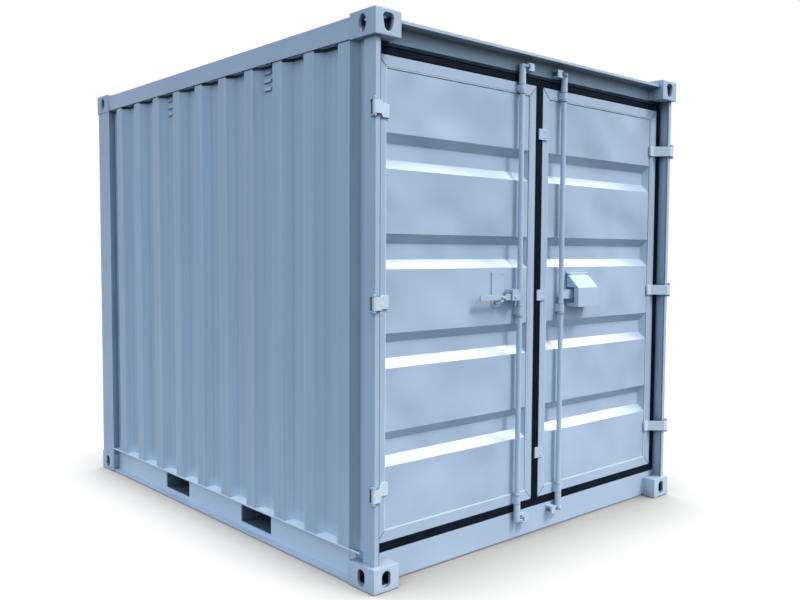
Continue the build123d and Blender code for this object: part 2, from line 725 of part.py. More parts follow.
def hinge_straps(name, side):
    """Bent straps from the door's edge, over the post, to a knuckle on each pin."""
    bends = (
        (HINGE_INSET, HINGE_DEPTH - KNUCKLE_RADIUS),
        (STRAP_BEND_INSET, HINGE_DEPTH - KNUCKLE_RADIUS),
        (STRAP_SEAT_INSET, DOOR_FACE_DEPTH - STRAP_GAUGE),
        (STRAP_END_INSET, DOOR_FACE_DEPTH - STRAP_GAUGE),
    )
    section = pressing(in_plan(bends, side), STRAP_GAUGE, Side.RIGHT if side > 0 else Side.LEFT)
    with BuildPart() as straps:
        for middle in HINGE_ZS:
            with BuildSketch(Plane.XY.offset(middle - HINGE_HEIGHT / 2)):
                add(section)
                with Locations(*in_plan([(HINGE_INSET, HINGE_DEPTH)], side)):
                    Circle(KNUCKLE_RADIUS)
                    Circle(HINGE_PIN_RADIUS + HINGE_RUNNING, mode=Mode.SUBTRACT)
            extrude(amount=HINGE_HEIGHT)
    save(straps, name)


def door_frame(name, side):
    """Welded frame of four bars round one door."""
    leaf_x = side * (DOOR_EDGE + DOOR_CENTRE) / 2
    hole_x = side * (DOOR_EDGE - DOOR_SIDE_BAR + DOOR_CENTRE + DOOR_BAR) / 2
    with BuildPart() as frame:
        with BuildSketch(front(DOOR_FACE_DEPTH)):
            with Locations((leaf_x, DOOR_MIDDLE)):
                Rectangle(DOOR_EDGE - DOOR_CENTRE, DOOR_TOP - DOOR_LOW)
            with Locations((hole_x, DOOR_MIDDLE)):
                Rectangle(PANEL_WIDTH, PANEL_HEIGHT, mode=Mode.SUBTRACT)
        extrude(amount=-DOOR_THICKNESS)
    save(frame, name)


def door_panel(name, side):
    """Sheet inside the frame, stamped with closed horizontal troughs."""
    x = side * (DOOR_EDGE - DOOR_SIDE_BAR + DOOR_CENTRE + DOOR_BAR) / 2
    middle = DOOR_MIDDLE + TROUGH_RAISE
    heights = [middle + (row - (TROUGH_COUNT - 1) / 2) * TROUGH_PITCH for row in range(TROUGH_COUNT)]
    width = PANEL_WIDTH - 2 * TROUGH_MARGIN
    mouth = TROUGH_FLOOR + 2 * TROUGH_SLOPE
    with BuildPart() as panel:
        with BuildSketch(front(PANEL_DEPTH)):
            with Locations((x, DOOR_MIDDLE)):
                Rectangle(PANEL_WIDTH, PANEL_HEIGHT)
        extrude(amount=-SHEET)
        for start, mode in ((PANEL_DEPTH + SHEET, Mode.ADD), (PANEL_DEPTH, Mode.SUBTRACT)):
            with Locations(*[(x, start - HALF_LENGTH, height) for height in heights]):
                Wedge(
                    width,
                    TROUGH_DEPTH,
                    mouth,
                    TROUGH_END,
                    TROUGH_SLOPE,
                    width - TROUGH_END,
                    mouth - TROUGH_SLOPE,
                    align=(Align.CENTER, Align.MIN, Align.CENTER),
                    mode=mode,
                )
    save(panel, name)


def door_gasket(name, side, centre):
    """Rubber seal round one door, clear of the opening's edges."""
    outer = HALF_WIDTH - POST_INNER - GASKET_CLEARANCE
    low = SILL_TOP + GASKET_CLEARANCE
    top = HEADER_LOW - GASKET_CLEARANCE
    with BuildPart() as gasket:
        with BuildSketch(front(GASKET_FRONT)):
            with Locations((side * (outer + centre) / 2, (low + top) / 2)):
                Rectangle(outer - centre, top - low)
            with Locations((side * (DOOR_EDGE + DOOR_CENTRE) / 2, DOOR_MIDDLE)):
                Rectangle(DOOR_EDGE - DOOR_CENTRE, DOOR_TOP - DOOR_LOW, mode=Mode.SUBTRACT)
        extrude(amount=GASKET_FRONT - GASKET_BACK)
    save(gasket, name)


def bar_bearings(name, side):
    """Guides that hold one locking bar to the door at its top, middle and bottom."""
    guides = (
        (TOP_BEARING, TOP_BEARING_HEIGHT, DOOR_FACE_DEPTH),
        (MIDDLE_BEARING, MIDDLE_BEARING_HEIGHT, PANEL_DEPTH),
        (LOW_BEARING, LOW_BEARING_HEIGHT, DOOR_FACE_DEPTH),
    )
    with BuildPart() as bearings:
        for low, height, seat in guides:
            with BuildSketch(Plane.XY.offset(low)):
                with Locations((side * BAR_X, BAR_DEPTH - HALF_LENGTH)):
                    Circle(SLEEVE_RADIUS)
                with Locations((side * BAR_X, (BAR_DEPTH + seat) / 2 - HALF_LENGTH)):
                    Rectangle(2 * SLEEVE_RADIUS, seat - BAR_DEPTH)
                with Locations((side * BAR_X, BAR_DEPTH - HALF_LENGTH)):
                    Circle(BAR_RADIUS + BEARING_RUNNING, mode=Mode.SUBTRACT)
            extrude(amount=height)
    save(bearings, name)


def cam_claw(side):
    """Plan of the claw at each end of a locking bar, pointing forward of the keeper."""
    with BuildSketch() as claw:
        with Locations((side * BAR_X, BAR_DEPTH - HALF_LENGTH)):
            Circle(SLEEVE_RADIUS)
            with Locations((-side * CAM_REACH_ACROSS, -CAM_REACH_OUT)):
                Circle(CAM_WIDTH / 2)
        make_hull()
    return claw.sketch


def handle_hub():
    """Forked block on the left bar: the handle hangs on a pin between its cheeks."""
    right = HANDLE_PIVOT_X - HUB_WIDTH / 2
    slot_end = HANDLE_PIVOT_X - EYE_HEIGHT / 2 - SEAT_GAP
    slot_front = HUB_FRONT + HUB_CHEEK
    slot_back = slot_front + HANDLE_THICKNESS + 2 * SEAT_GAP
    left = HANDLE_PIVOT_X + HUB_WIDTH / 2
    fork = ((left, HUB_FRONT), (right, HUB_FRONT), (right, HUB_BACK), (left, HUB_BACK))
    slot = ((left, slot_front), (slot_end, slot_front), (slot_end, slot_back), (left, slot_back))
    with BuildPart() as hub:
        with BuildSketch(Plane.XY.offset(HANDLE_Z + HUB_RAISE - HUB_HEIGHT / 2)):
            with BuildLine():
                Polyline(*[(-x, depth - HALF_LENGTH) for x, depth in fork], close=True)
            make_face()
            with BuildLine():
                Polyline(*[(-x, depth - HALF_LENGTH) for x, depth in slot], close=True)
            make_face(mode=Mode.SUBTRACT)
        extrude(amount=HUB_HEIGHT)
        with Locations((-(right + BAR_X) / 2, HUB_BACK - NECK_THICKNESS / 2 - HALF_LENGTH, HANDLE_Z)):
            Box(right - BAR_X, NECK_THICKNESS, NECK_HEIGHT)
        with BuildSketch(front(slot_front)):
            with Locations((-HANDLE_PIVOT_X, HANDLE_Z)):
                Circle(HANDLE_PIN_RADIUS)
        extrude(amount=slot_front - slot_back)
    return hub.part


def locking_bar(name, side):
    """Round bar with a sleeve and a claw at each end; the left has the handle's hub, the right a lever."""
    claw = cam_claw(side)
    low_sleeve = LOW_BEARING - SLEEVE_GAP
    top_sleeve = TOP_BEARING + TOP_BEARING_HEIGHT + SLEEVE_GAP
    with BuildPart() as bar:
        for low, top, radius in (
            (BAR_LOW, BAR_TOP, BAR_RADIUS),
            (BAR_LOW, low_sleeve, SLEEVE_RADIUS),
            (top_sleeve, BAR_TOP, SLEEVE_RADIUS),
        ):
            with BuildSketch(Plane.XY.offset(low)):
                with Locations((side * BAR_X, BAR_DEPTH - HALF_LENGTH)):
                    Circle(radius)
            extrude(amount=top - low)
        for middle in CAM_ZS:
            with BuildSketch(Plane.XY.offset(middle - CAM_HEIGHT / 2)):
                add(claw)
            extrude(amount=CAM_HEIGHT)
        if side < 0:
            add(handle_hub())
        else:
            with Locations((BAR_X + LEVER_LENGTH / 2, LEVER_DEPTH - HALF_LENGTH, HANDLE_Z)):
                Box(LEVER_LENGTH, LEVER_THICKNESS, LEVER_HEIGHT)
    save(bar, name)


def left_handle():
    """Flat handle on the hub's pin: an eye, a narrow waist over the catch and a broad grip."""
    eye_end = -HANDLE_PIVOT_X - EYE_LENGTH
    waist_end = eye_end - WAIST_LENGTH
    tip = -HANDLE_PIVOT_X - HANDLE_LENGTH
    with BuildPart() as handle:
        with BuildSketch(front(HANDLE_DEPTH)):
            with Locations(((waist_end + tip) / 2, HANDLE_Z)):
                RectangleRounded(waist_end - tip, HANDLE_HEIGHT, HANDLE_ROUND)
            with Locations(((tip - HANDLE_PIVOT_X) / 2 + HANDLE_ROUND, HANDLE_Z)):
                Rectangle(HANDLE_LENGTH - 2 * HANDLE_ROUND, WAIST_HEIGHT)
            with Locations(((eye_end - HANDLE_PIVOT_X) / 2, HANDLE_Z)):
                Rectangle(EYE_LENGTH, EYE_HEIGHT)
            with Locations((-HANDLE_PIVOT_X, HANDLE_Z)):
                Circle(EYE_HEIGHT / 2)
                Circle(HANDLE_PIN_RADIUS + HINGE_RUNNING, mode=Mode.SUBTRACT)
        extrude(amount=-HANDLE_THICKNESS)
    save(handle, "left_handle")


def handle_catch():
    """Backing plate on the left door with the shelf that the handle rests on."""
    shelf_top = HANDLE_Z - WAIST_HEIGHT / 2 - CATCH_GAP
    with BuildPart() as catch:
        with BuildSketch(front(PANEL_DEPTH)):
            with Locations((-(PLATE_LEFT + PLATE_RIGHT) / 2, (PLATE_LOW + PLATE_TOP) / 2)):
                Rectangle(PLATE_LEFT - PLATE_RIGHT, PLATE_TOP - PLATE_LOW)
        extrude(amount=PLATE_GAUGE)
        with BuildSketch(front(PANEL_DEPTH - PLATE_GAUGE)):
            with Locations((-CATCH_X, shelf_top - CATCH_HEIGHT / 2)):
                Rectangle(CATCH_WIDTH, CATCH_HEIGHT)
        extrude(amount=PANEL_DEPTH - PLATE_GAUGE - HANDLE_DEPTH)
    save(catch, "handle_catch")


def cam_keepers():
    """Staples on the sill and header, notched towards the claws that turn beside them."""
    inner_height = CAM_HEIGHT + 2 * KEEPER_CLEARANCE
    y = DOOR_FACE_DEPTH - KEEPER_REACH / 2 - HALF_LENGTH
    with BuildPart() as keepers:
        for side in (-1, 1):
            edge = side * (BAR_X - KEEPER_START)
            for z in CAM_ZS:
                with Locations((edge - side * KEEPER_LENGTH / 2, y, z)):
                    Box(KEEPER_LENGTH, KEEPER_REACH, inner_height + 2 * KEEPER_LIP)
                with Locations((edge - side * KEEPER_LENGTH / 2, y + KEEPER_LIP, z)):
                    Box(KEEPER_LENGTH, KEEPER_REACH, inner_height, mode=Mode.SUBTRACT)
                with Locations((edge, y, z)):
                    Box(2 * KEEPER_NOTCH, KEEPER_REACH, inner_height, mode=Mode.SUBTRACT)
    save(keepers, "cam_keepers")


def overlap_clips():
    """Clips on the right door that reach over the gap between the doors."""
    with BuildPart() as clips:
        for z in HINGE_ZS:
            with BuildSketch(front(DOOR_FACE_DEPTH)):
                with Locations(((CLIP_END - SWING_CLEARANCE) / 2, z)):
                    Rectangle(CLIP_END + SWING_CLEARANCE, CLIP_HEIGHT)
            extrude(amount=CLIP_GAUGE)
    save(clips, "overlap_clips")


def lock_box_profile(inset, back):
    """Side view of the lock box, shrunk by a wall thickness, in (depth, height)."""
    return in_profile(
        (
            (back, BOX_LOW),
            (DOOR_FACE_DEPTH - BOX_DEPTH + inset, BOX_LOW),
            (DOOR_FACE_DEPTH - BOX_DEPTH + inset, BOX_SHOULDER - inset / 2),
            (DOOR_FACE_DEPTH - BOX_TOP_DEPTH + inset, BOX_TOP - inset),
            (back, BOX_TOP - inset),
        )
    )


def lock_box():
    """Flip-up cover over the lever: open at its back and bottom, notched for the lever."""
    back = DOOR_FACE_DEPTH - GASKET_CLEARANCE
    with BuildPart() as cover:
        with BuildSketch(Plane.YZ.offset(BOX_LEFT)):
            with BuildLine():
                Polyline(*lock_box_profile(0, back), close=True)
            make_face()
        extrude(amount=BOX_RIGHT - BOX_LEFT)
        with BuildSketch(Plane.YZ.offset(BOX_LEFT + BOX_GAUGE)):
            with BuildLine():
                Polyline(*lock_box_profile(BOX_GAUGE, back), close=True)
            make_face()
        extrude(amount=BOX_RIGHT - BOX_LEFT - 2 * BOX_GAUGE, mode=Mode.SUBTRACT)
        with Locations(
            (BOX_LEFT, back - BOX_NOTCH_DEPTH / 2 - HALF_LENGTH, BOX_NOTCH_LOW + BOX_NOTCH_HEIGHT / 2)
        ):
            Box(2 * BOX_LUG, BOX_NOTCH_DEPTH, BOX_NOTCH_HEIGHT, mode=Mode.SUBTRACT)
        with BuildSketch(Plane.YZ.offset(BOX_LEFT + BOX_LUG)):
            with Locations(*in_profile([(BOX_PIN_DEPTH, BOX_PIN_Z)])):
                Circle(BOX_KNUCKLE_RADIUS)
            with Locations(*in_profile([(BOX_PIN_DEPTH, (BOX_TOP + BOX_PIN_Z) / 2 - BOX_GAUGE / 2)])):
                Rectangle(2 * BOX_KNUCKLE_RADIUS, BOX_PIN_Z - BOX_TOP + BOX_GAUGE)
            with Locations(*in_profile([(BOX_PIN_DEPTH, BOX_PIN_Z)])):
                Circle(BOX_PIN_RADIUS + HINGE_RUNNING, mode=Mode.SUBTRACT)
        extrude(amount=BOX_RIGHT - BOX_LEFT - 2 * BOX_LUG)
    save(cover, "lock_box")


def lock_box_base():
    """Backing plate behind the lock box with the two lugs and the pin that the cover turns on."""
    with BuildPart() as base:
        with BuildSketch(front(PANEL_DEPTH)):
            with Locations(((BOX_LEFT + BOX_RIGHT) / 2, (PLATE_LOW + PLATE_TOP) / 2)):
                Rectangle(BOX_RIGHT - BOX_LEFT, PLATE_TOP - PLATE_LOW)
        extrude(amount=PLATE_GAUGE)
        for x in (BOX_LEFT, BOX_RIGHT - BOX_LUG + LUG_GAP):
            with BuildSketch(Plane.YZ.offset(x)):
                with Locations(*in_profile([(BOX_PIN_DEPTH, BOX_PIN_Z)])):
                    Circle(BOX_KNUCKLE_RADIUS)
                with Locations(*in_profile([((BOX_PIN_DEPTH + PANEL_DEPTH) / 2, BOX_PIN_Z)])):
                    Rectangle(PANEL_DEPTH - BOX_PIN_DEPTH, 2 * BOX_KNUCKLE_RADIUS)
            extrude(amount=BOX_LUG - LUG_GAP)
        with BuildSketch(Plane.YZ.offset(BOX_LEFT)):
            with Locations(*in_profile([(BOX_PIN_DEPTH, BOX_PIN_Z)])):
                Circle(BOX_PIN_RADIUS)
        extrude(amount=BOX_RIGHT - BOX_LEFT)
    save(base, "lock_box_base")


for end, place in ((-1, "front"), (1, "rear")):
    corner_castings(f"lower_{place}_castings", end, False)
    corner_castings(f"upper_{place}_castings", end, True)
for side, hand in ((-1, "left"), (1, "right")):
    front_post(f"{hand}_door_post", side)
    rear_post(f"{hand}_rear_post", side)
    top_side_rail(f"{hand}_top_rail", side)
    bottom_side_rail(f"{hand}_bottom_rail", side)
    side_wall(f"{hand}_wall", side)
    wall_vents(f"{hand}_vents", side)
    hinge_lugs(f"{hand}_hinge_lugs", side)
    door_frame(f"{hand}_door_frame", side)
    door_panel(f"{hand}_door_panel", side)
    hinge_straps(f"{hand}_hinge_straps", side)
    bar_bearings(f"{hand}_bar_bearings", side)
    locking_bar(f"{hand}_locking_bar", side)
door_gasket("left_door_gasket", -1, DOOR_CENTRE)
door_gasket("right_door_gasket", 1, -SWING_CLEARANCE)
door_sill()
door_header()
rear_top_rail()
rear_bottom_rail()
rear_wall()
roof()
floor()
crossmembers()
pocket_webs()
pocket_plates()
cam_keepers()
left_handle()
handle_catch()
overlap_clips()
lock_box()
lock_box_base()
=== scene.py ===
"""Finish, small fittings, floor, lights and camera for the ten-foot storage container."""
import json
from math import cos, pi, radians, sin

import bpy
from mathutils import Matrix, Vector


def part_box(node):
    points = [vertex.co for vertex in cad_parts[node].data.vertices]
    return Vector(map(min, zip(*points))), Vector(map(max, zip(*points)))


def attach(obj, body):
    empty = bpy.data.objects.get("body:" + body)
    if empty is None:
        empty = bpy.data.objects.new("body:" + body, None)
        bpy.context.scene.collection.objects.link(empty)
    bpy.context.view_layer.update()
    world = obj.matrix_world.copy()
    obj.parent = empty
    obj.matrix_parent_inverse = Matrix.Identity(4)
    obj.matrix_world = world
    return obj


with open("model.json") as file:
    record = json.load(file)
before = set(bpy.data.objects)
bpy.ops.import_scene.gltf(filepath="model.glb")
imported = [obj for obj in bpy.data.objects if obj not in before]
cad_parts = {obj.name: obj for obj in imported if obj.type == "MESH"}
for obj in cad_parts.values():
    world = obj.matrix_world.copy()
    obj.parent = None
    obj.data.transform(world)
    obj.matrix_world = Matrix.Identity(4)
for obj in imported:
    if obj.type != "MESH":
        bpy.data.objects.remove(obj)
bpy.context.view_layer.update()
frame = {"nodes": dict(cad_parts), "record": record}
nodes = frame["nodes"]

# Camera, solved from the photograph: place in metres, angles in degrees, lens in millimetres
CAMERA_PLACE = (-3.5752, -4.3055, 1.5352)
CAMERA_AZIMUTH = -41.722
CAMERA_ELEVATION = 3.283
CAMERA_ROLL = 0.286
CAMERA_LENS = 37.861

# Paint, rubber, and painted light and shade, as linear colours
PAINT = (0.43, 0.525, 0.645)
# Paler paint on the door gear and lock box, made paler as painted light on their rounded faces
PAINT_LIT = (0.48, 0.575, 0.69)
# Paler paint on the lower castings, as painted light; the upper castings keep the body paint
LOWER_CASTING_LIT = (0.53, 0.62, 0.73)
# Paler paint on the bottom rails: painted light thrown up from the floor
RAIL_LIT = (0.6, 0.68, 0.79)
# Near white: a painted highlight on the rail lips and trough feet
LIP_HIGHLIGHT = (0.82, 0.88, 0.94)
# Greyer paint on the door header: painted shade under its hood
HEADER_IN_SHADE = (0.42, 0.52, 0.61)
# Dark paint as painted shade in the fork pockets, on the crossmembers and in the lines beside the doors
UNDER_SHADE = (0.16, 0.21, 0.27)
ROOF = (0.32, 0.405, 0.505)
# Paler paint on the hinge straps, their welds and the clip rivets: painted light on their lit faces
LIT_STRAP = (0.64, 0.72, 0.8)
RECESS_SHADE = (0.4, 0.42, 0.46)
HEADER_SHADE = (0.27, 0.31, 0.32)
POST_SHADE = (0.38, 0.41, 0.46)
CAVITY_SHADE = (0.03, 0.045, 0.055)
OPEN_CAVITY_SHADE = (0.2, 0.25, 0.3)
RUBBER = (0.006, 0.0095, 0.0155)
FLAP = (0.022, 0.034, 0.05)
# Dark joint lines, also used as painted shade
SEAM_AND_SHADE = (0.035, 0.05, 0.065)
PLYWOOD_LIGHT = (0.42, 0.25, 0.13)
PLYWOOD_DARK = (0.24, 0.125, 0.06)
BOARD_LENGTH = 1.3
BOARD_WIDTH = 0.39

# Light: a hazy sun, its glint on the paint, the sky below, at and above the horizon, and the floor
KEY_FROM = (0.28, -0.57, 0.77)
KEY_SPREAD = 17
KEY_STRENGTH = 2.25
KEY_COLOUR = (1.0, 0.93, 0.87)
GLINT_FROM = (0.71, -0.28, 0.65)
GLINT_SPREAD = 26
GLINT_STRENGTH = 3.2
SKY_LOW = (0.03, 0.035, 0.04)
SKY_RIM = (0.3, 0.41, 0.52)
SKY_MIDDLE = (1.26, 1.57, 1.9)
SKY_TOP = (0.42, 0.53, 0.64)
SKY_SPAN = (-0.05, 0.9)
FLOOR_SIZE = 60
FLOOR_FAR = (0.05, 0.05, 0.05)
FLOOR_NEAR = (0.4, 0.38, 0.36)
FLOOR_SPAN = (1.5, 2.9)
FLOOR_LIT = (0.1, 0.095, 0.09)
# The floor's glow for the camera, with a painted shadow where the container closes it in
FLOOR_GLOW = 0.97
FLOOR_SHADE = 0.2
SHADOW_REACH = 0.8
SHADOW_SPAN = (0.3, 0.97)
LEFT_SHADOW = 0.4

# Seals, beads, fasteners, and lines of painted shade and highlight, in metres
FLAP_RISE = 0.0085
LOBE = 0.0095
LOBE_DEPTH = 0.006
BULB = 0.009
BEAD = 0.0035
SEAM_AND_SHADE_LINE = 0.0014
POST_TOP_SEAM = 0.0022
PANEL_SHADOW_LINE = 0.0016
PANEL_SHADOW_INSET = 0.007
RAIL_SHADE_LINE = 0.009
POST_SHADE_LINE = 0.003
POST_SHADE_SUNK = 0.0026
HINGE_SHADE_LINE = 0.0038
STRAP_BEAD = 0.0028
EDGE_HIGHLIGHT = 0.0013
EDGE_HIGHLIGHT_INSET = 0.0014
EDGE_HIGHLIGHT_DROP = 0.0008
PIN_HEAD = ((0.007, -0.001), (0.007, 0.0018), (0.0055, 0.0032), (0.002, 0.004))
COLLAR = (
    (0.0143, -0.004),
    (0.0165, -0.004),
    (0.0175, -0.003),
    (0.0175, 0.003),
    (0.0165, 0.004),
    (0.0143, 0.004),
)
COLLAR_AWAY = 0.006
CAP = ((0.0175, -0.001), (0.0172, 0.001), (0.015, 0.0026), (0.008, 0.0035))
RIVET = ((0.0055, -0.001), (0.0055, 0.001), (0.004, 0.0026), (0.0015, 0.0032))
SHADE_RING = ((0.0143, -0.0012), (0.0162, -0.0012), (0.0162, 0.0012), (0.0143, 0.0012))
SHADE_RING_AWAY = 0.0112
BOSS = ((0.0095, -0.001), (0.0095, 0.002), (0.008, 0.003), (0.003, 0.0032))
STOP = ((0.004, -0.002), (0.004, 0.03), (0.003, 0.033), (0.0012, 0.034))
KNOB = ((0.0075, -0.001), (0.0075, 0.004), (0.006, 0.006), (0.002, 0.0066))
SCREW = ((0.0055, -0.002), (0.0055, 0.0003), (0.003, 0.0005), (0.0026, -0.0004), (0.001, -0.0006))
SCREW_ROWS = 11
SCREW_COLUMNS = 13
SCREW_MARGINS = (0.05, 0.04)

# Painted light and shade on the walls' folds: depths and heights in metres, facings and tones as shares of
# one
TROUGH_DEPTH = 0.038
CREST_DEPTH = 0.014
FOLD_ROLL = 0.03
SLOPE_FACING = -0.6
SLOPE_TONE = 1.07
EDGE_FACING = 0.35
EDGE_TONE = 0.11
TROUGH_TONE = 0.975
CREST_TONE = 0.965
STIFF_FACING = (0.15, 0.35)
SLOPE_STIFFNESS = 0.8
FOOT_GLOW_RISE = 0.08
FOOT_GLOW_TONE = 0.3
LAST_FOLD_SHADE = 0.38

# Places taken from the part's source, in metres
FRONT = -1.4955
POST_FACE = 0.026
POST_DEPTH = 0.08
DOOR_FACE = FRONT + 0.085
PANEL_FACE = FRONT + 0.091
CASTING_TOP = 0.118
CASTING_SIDE = 1.219
LAST_FOLD_START = (FRONT + 0.13, FRONT + 0.146)
LAST_FOLD_STOP = (FRONT + 0.185, FRONT + 0.188)
CASTING_WIDTH = 0.15
CASTING_LENGTH = 0.178
CASTING_REACH = 0.13
HEADER_LOW = 2.454
RAIL_LOW = 2.478
HOOD_DROP = 0.05
FIRST_RIB = FRONT + 0.187
RIB_PITCH = 0.269
RIB_FACE = 0.086
RIB_SLOPE = 0.047
RIB_COUNT = 10
FOOT_RISE = 0.015
FACE_X = 1.211
TROUGH_X = 1.175
HINGE_ZS = (0.445, 1.305, 2.165)
POST_SIDE = 1.199
POST_SHADE_X = 1.171
HINGE_PIN = (1.209, FRONT + 0.014)
HINGE_HALF = 0.04
STRAP_HALF = 0.03
STRAP_SEAT = 1.107
STRAP_END = 1.069
BAR_X = 0.175
BAR_Y = FRONT + 0.061
BAR_ENDS = (0.104, 2.503)
BEARINGS = ((0.2, 0.244, DOOR_FACE), (1.208, 1.252, PANEL_FACE), (2.366, 2.4, DOOR_FACE))
KEEPER_ENDS = (0.099, 0.143)
KEEPER_ZS = (0.112, 2.495)
KEEPER_HALF = 0.02
HANDLE_Z = 1.305
HANDLE_PIVOT = -0.243
HANDLE_KNOB = -0.335
CATCH_PLATE = (-0.365, -0.271, 1.251, 1.435)
LOCK_BOX = (0.252, 0.433)
LOCK_PIN = (FRONT + 0.077, 1.418)
WALL_FOOT = 0.165
FLOOR_LEVEL = 0.184


def new_material(name):
    """An empty node material and its shader."""
    material = bpy.data.materials.new(name)
    material.use_nodes = True
    tree = material.node_tree
    tree.nodes.clear()
    output = tree.nodes.new("ShaderNodeOutputMaterial")
    shader = tree.nodes.new("ShaderNodeBsdfPrincipled")
    tree.links.new(shader.outputs["BSDF"], output.inputs["Surface"])
    return material, tree, shader


def object_coordinates(tree):
    """Coordinates in metres, the same in every view and pose."""
    return tree.nodes.new("ShaderNodeTexCoord").outputs["Object"]


def noise(tree, scale, detail=3.0, roughness=0.5):
    """Smooth noise with that many features to the metre."""
    node = tree.nodes.new("ShaderNodeTexNoise")
    node.inputs["Scale"].default_value = scale
    node.inputs["Detail"].default_value = detail
    node.inputs["Roughness"].default_value = roughness
    tree.links.new(object_coordinates(tree), node.inputs["Vector"])
    return node.outputs["Fac"]


def ramp(tree, value, stops):
    """Colour ramp through (position, colour) stops."""
    node = tree.nodes.new("ShaderNodeValToRGB")
    elements = node.color_ramp.elements
    while len(elements) < len(stops):
        elements.new(0.5)
    for element, (position, colour) in zip(elements, stops):
        element.position = position
        element.color = (*colour, 1)
    tree.links.new(value, node.inputs["Fac"])
    return node.outputs["Color"]


def between(tree, value, start, end, low, high):
    """The value's way from start to end, spread between two numbers and held there."""
    node = tree.nodes.new("ShaderNodeMapRange")
    names = ("From Min", "From Max", "To Min", "To Max")
    for socket, number in zip(names, (start, end, low, high)):
        node.inputs[socket].default_value = number
    tree.links.new(value, node.inputs["Value"])
    return node.outputs["Result"]


def calculation(tree, operation, first, second=0.0):
    """Result of a maths node on two values, each a number or an output."""
    node = tree.nodes.new("ShaderNodeMath")
    node.operation = operation
    for socket, value in zip(node.inputs, (first, second)):
        if isinstance(value, float):
            socket.default_value = value
        else:
            tree.links.new(value, socket)
    return node.outputs["Value"]


def multiplied(tree, colour, by):
    """The colour, multiplied by another colour or by a value."""
    node = tree.nodes.new("ShaderNodeMixRGB")
    node.blend_type = "MULTIPLY"
    node.inputs["Fac"].default_value = 1
    tree.links.new(colour, node.inputs["Color1"])
    tree.links.new(by, node.inputs["Color2"])
    return node.outputs["Color"]


def split(tree, vector):
    """The X, Y and Z outputs of a vector."""
    node = tree.nodes.new("ShaderNodeSeparateXYZ")
    tree.links.new(vector, node.inputs["Vector"])
    return node.outputs


def rolled_normal(tree, radius, samples):
    """The surface's normal with its edges rounded by that radius."""
    node = tree.nodes.new("ShaderNodeBevel")
    node.samples = samples
    node.inputs["Radius"].default_value = radius
    return node.outputs["Normal"]


def bump(tree, height, strength, distance, under=None):
    """Bump that deep in metres, laid over an earlier one."""
    node = tree.nodes.new("ShaderNodeBump")
    node.inputs["Strength"].default_value = strength
    node.inputs["Distance"].default_value = distance
    tree.links.new(height, node.inputs["Height"])
    if under is not None:
        tree.links.new(under, node.inputs["Normal"])
    return node.outputs["Normal"]


def openness(tree, reach, samples=6):
    """One in the open, falling towards nought in corners and hollows within that reach."""
    hollow = tree.nodes.new("ShaderNodeAmbientOcclusion")
    hollow.samples = samples
    hollow.inputs["Distance"].default_value = reach
    return hollow.outputs["AO"]


def darker_in_recesses(tree, colour, reach=0.03, shade=RECESS_SHADE, start=0.2, end=0.6):
    """The colour, darkened in tight corners and hollows as painted shade, the less open the darker."""
    painted_shade = ramp(tree, openness(tree, reach), ((start, shade), (end, (1, 1, 1))))
    return multiplied(tree, colour, painted_shade)


def streaks(tree, scale):
    """Noise drawn out upwards, as rain and folding leave it on sheet."""
    stretch = tree.nodes.new("ShaderNodeMapping")
    stretch.inputs["Scale"].default_value = (scale, scale, 0.35)
    tree.links.new(object_coordinates(tree), stretch.inputs["Vector"])
    node = tree.nodes.new("ShaderNodeTexNoise")
    node.inputs["Scale"].default_value = 1
    node.inputs["Detail"].default_value = 4
    tree.links.new(stretch.outputs["Vector"], node.inputs["Vector"])
    return node.outputs["Fac"]


def painted_light_on_folds(tree, colour):
    """The colour with painted light and shade by fold: brighter front-facing slopes, a painted highlight on
    the crests' back edges, tones for crests and troughs, painted light at the troughs' feet and painted shade
    on the strip behind the post.
    """
    place = split(tree, object_coordinates(tree))
    across = calculation(tree, "SUBTRACT", CASTING_SIDE, calculation(tree, "ABSOLUTE", place["X"]))
    along = calculation(tree, "SUBTRACT", -FRONT, calculation(tree, "ABSOLUTE", place["Y"]))
    crest = between(tree, calculation(tree, "MINIMUM", across, along), TROUGH_DEPTH, CREST_DEPTH, 0, 1)
    facing = split(tree, rolled_normal(tree, FOLD_ROLL, 4))
    slope = between(tree, facing["Y"], SLOPE_FACING, 0, SLOPE_TONE, 1)
    turned_back = between(tree, facing["Y"], 0, EDGE_FACING, 0, EDGE_TONE)
    edge = calculation(tree, "MULTIPLY", crest, turned_back)
    flat = calculation(tree, "MULTIPLY", slope, between(tree, crest, 0, 1, TROUGH_TONE, CREST_TONE))
    # Painted light thrown up from the rail onto the troughs' feet
    low = between(tree, place["Z"], WALL_FOOT + FOOT_GLOW_RISE, WALL_FOOT, 0, FOOT_GLOW_TONE)
    foot = calculation(tree, "MULTIPLY", low, calculation(tree, "SUBTRACT", 1.0, crest))
    tone = calculation(tree, "ADD", calculation(tree, "ADD", flat, edge), foot)
    # Painted shade on the last fold's slope, which lies in the door post's shade
    behind_post = between(tree, place["Y"], *LAST_FOLD_START, 0, LAST_FOLD_SHADE)
    before_crest = between(tree, place["Y"], *LAST_FOLD_STOP, 1, 0)
    painted_shade = calculation(tree, "MULTIPLY", behind_post, before_crest)
    tone = calculation(tree, "MULTIPLY", tone, calculation(tree, "SUBTRACT", 1.0, painted_shade))
    return multiplied(tree, colour, tone)


def stiff_slopes(tree, buckled, plain):
    """The buckled normal on upright sheet, nearly the plain one on the stiff slopes that face upwards."""
    stiffness = between(tree, split(tree, plain)["Z"], *STIFF_FACING, 0, SLOPE_STIFFNESS)
    mixed = tree.nodes.new("ShaderNodeMixRGB")
    tree.links.new(stiffness, mixed.inputs["Fac"])
    tree.links.new(buckled, mixed.inputs["Color1"])
    tree.links.new(plain, mixed.inputs["Color2"])
    return mixed.outputs["Color"]


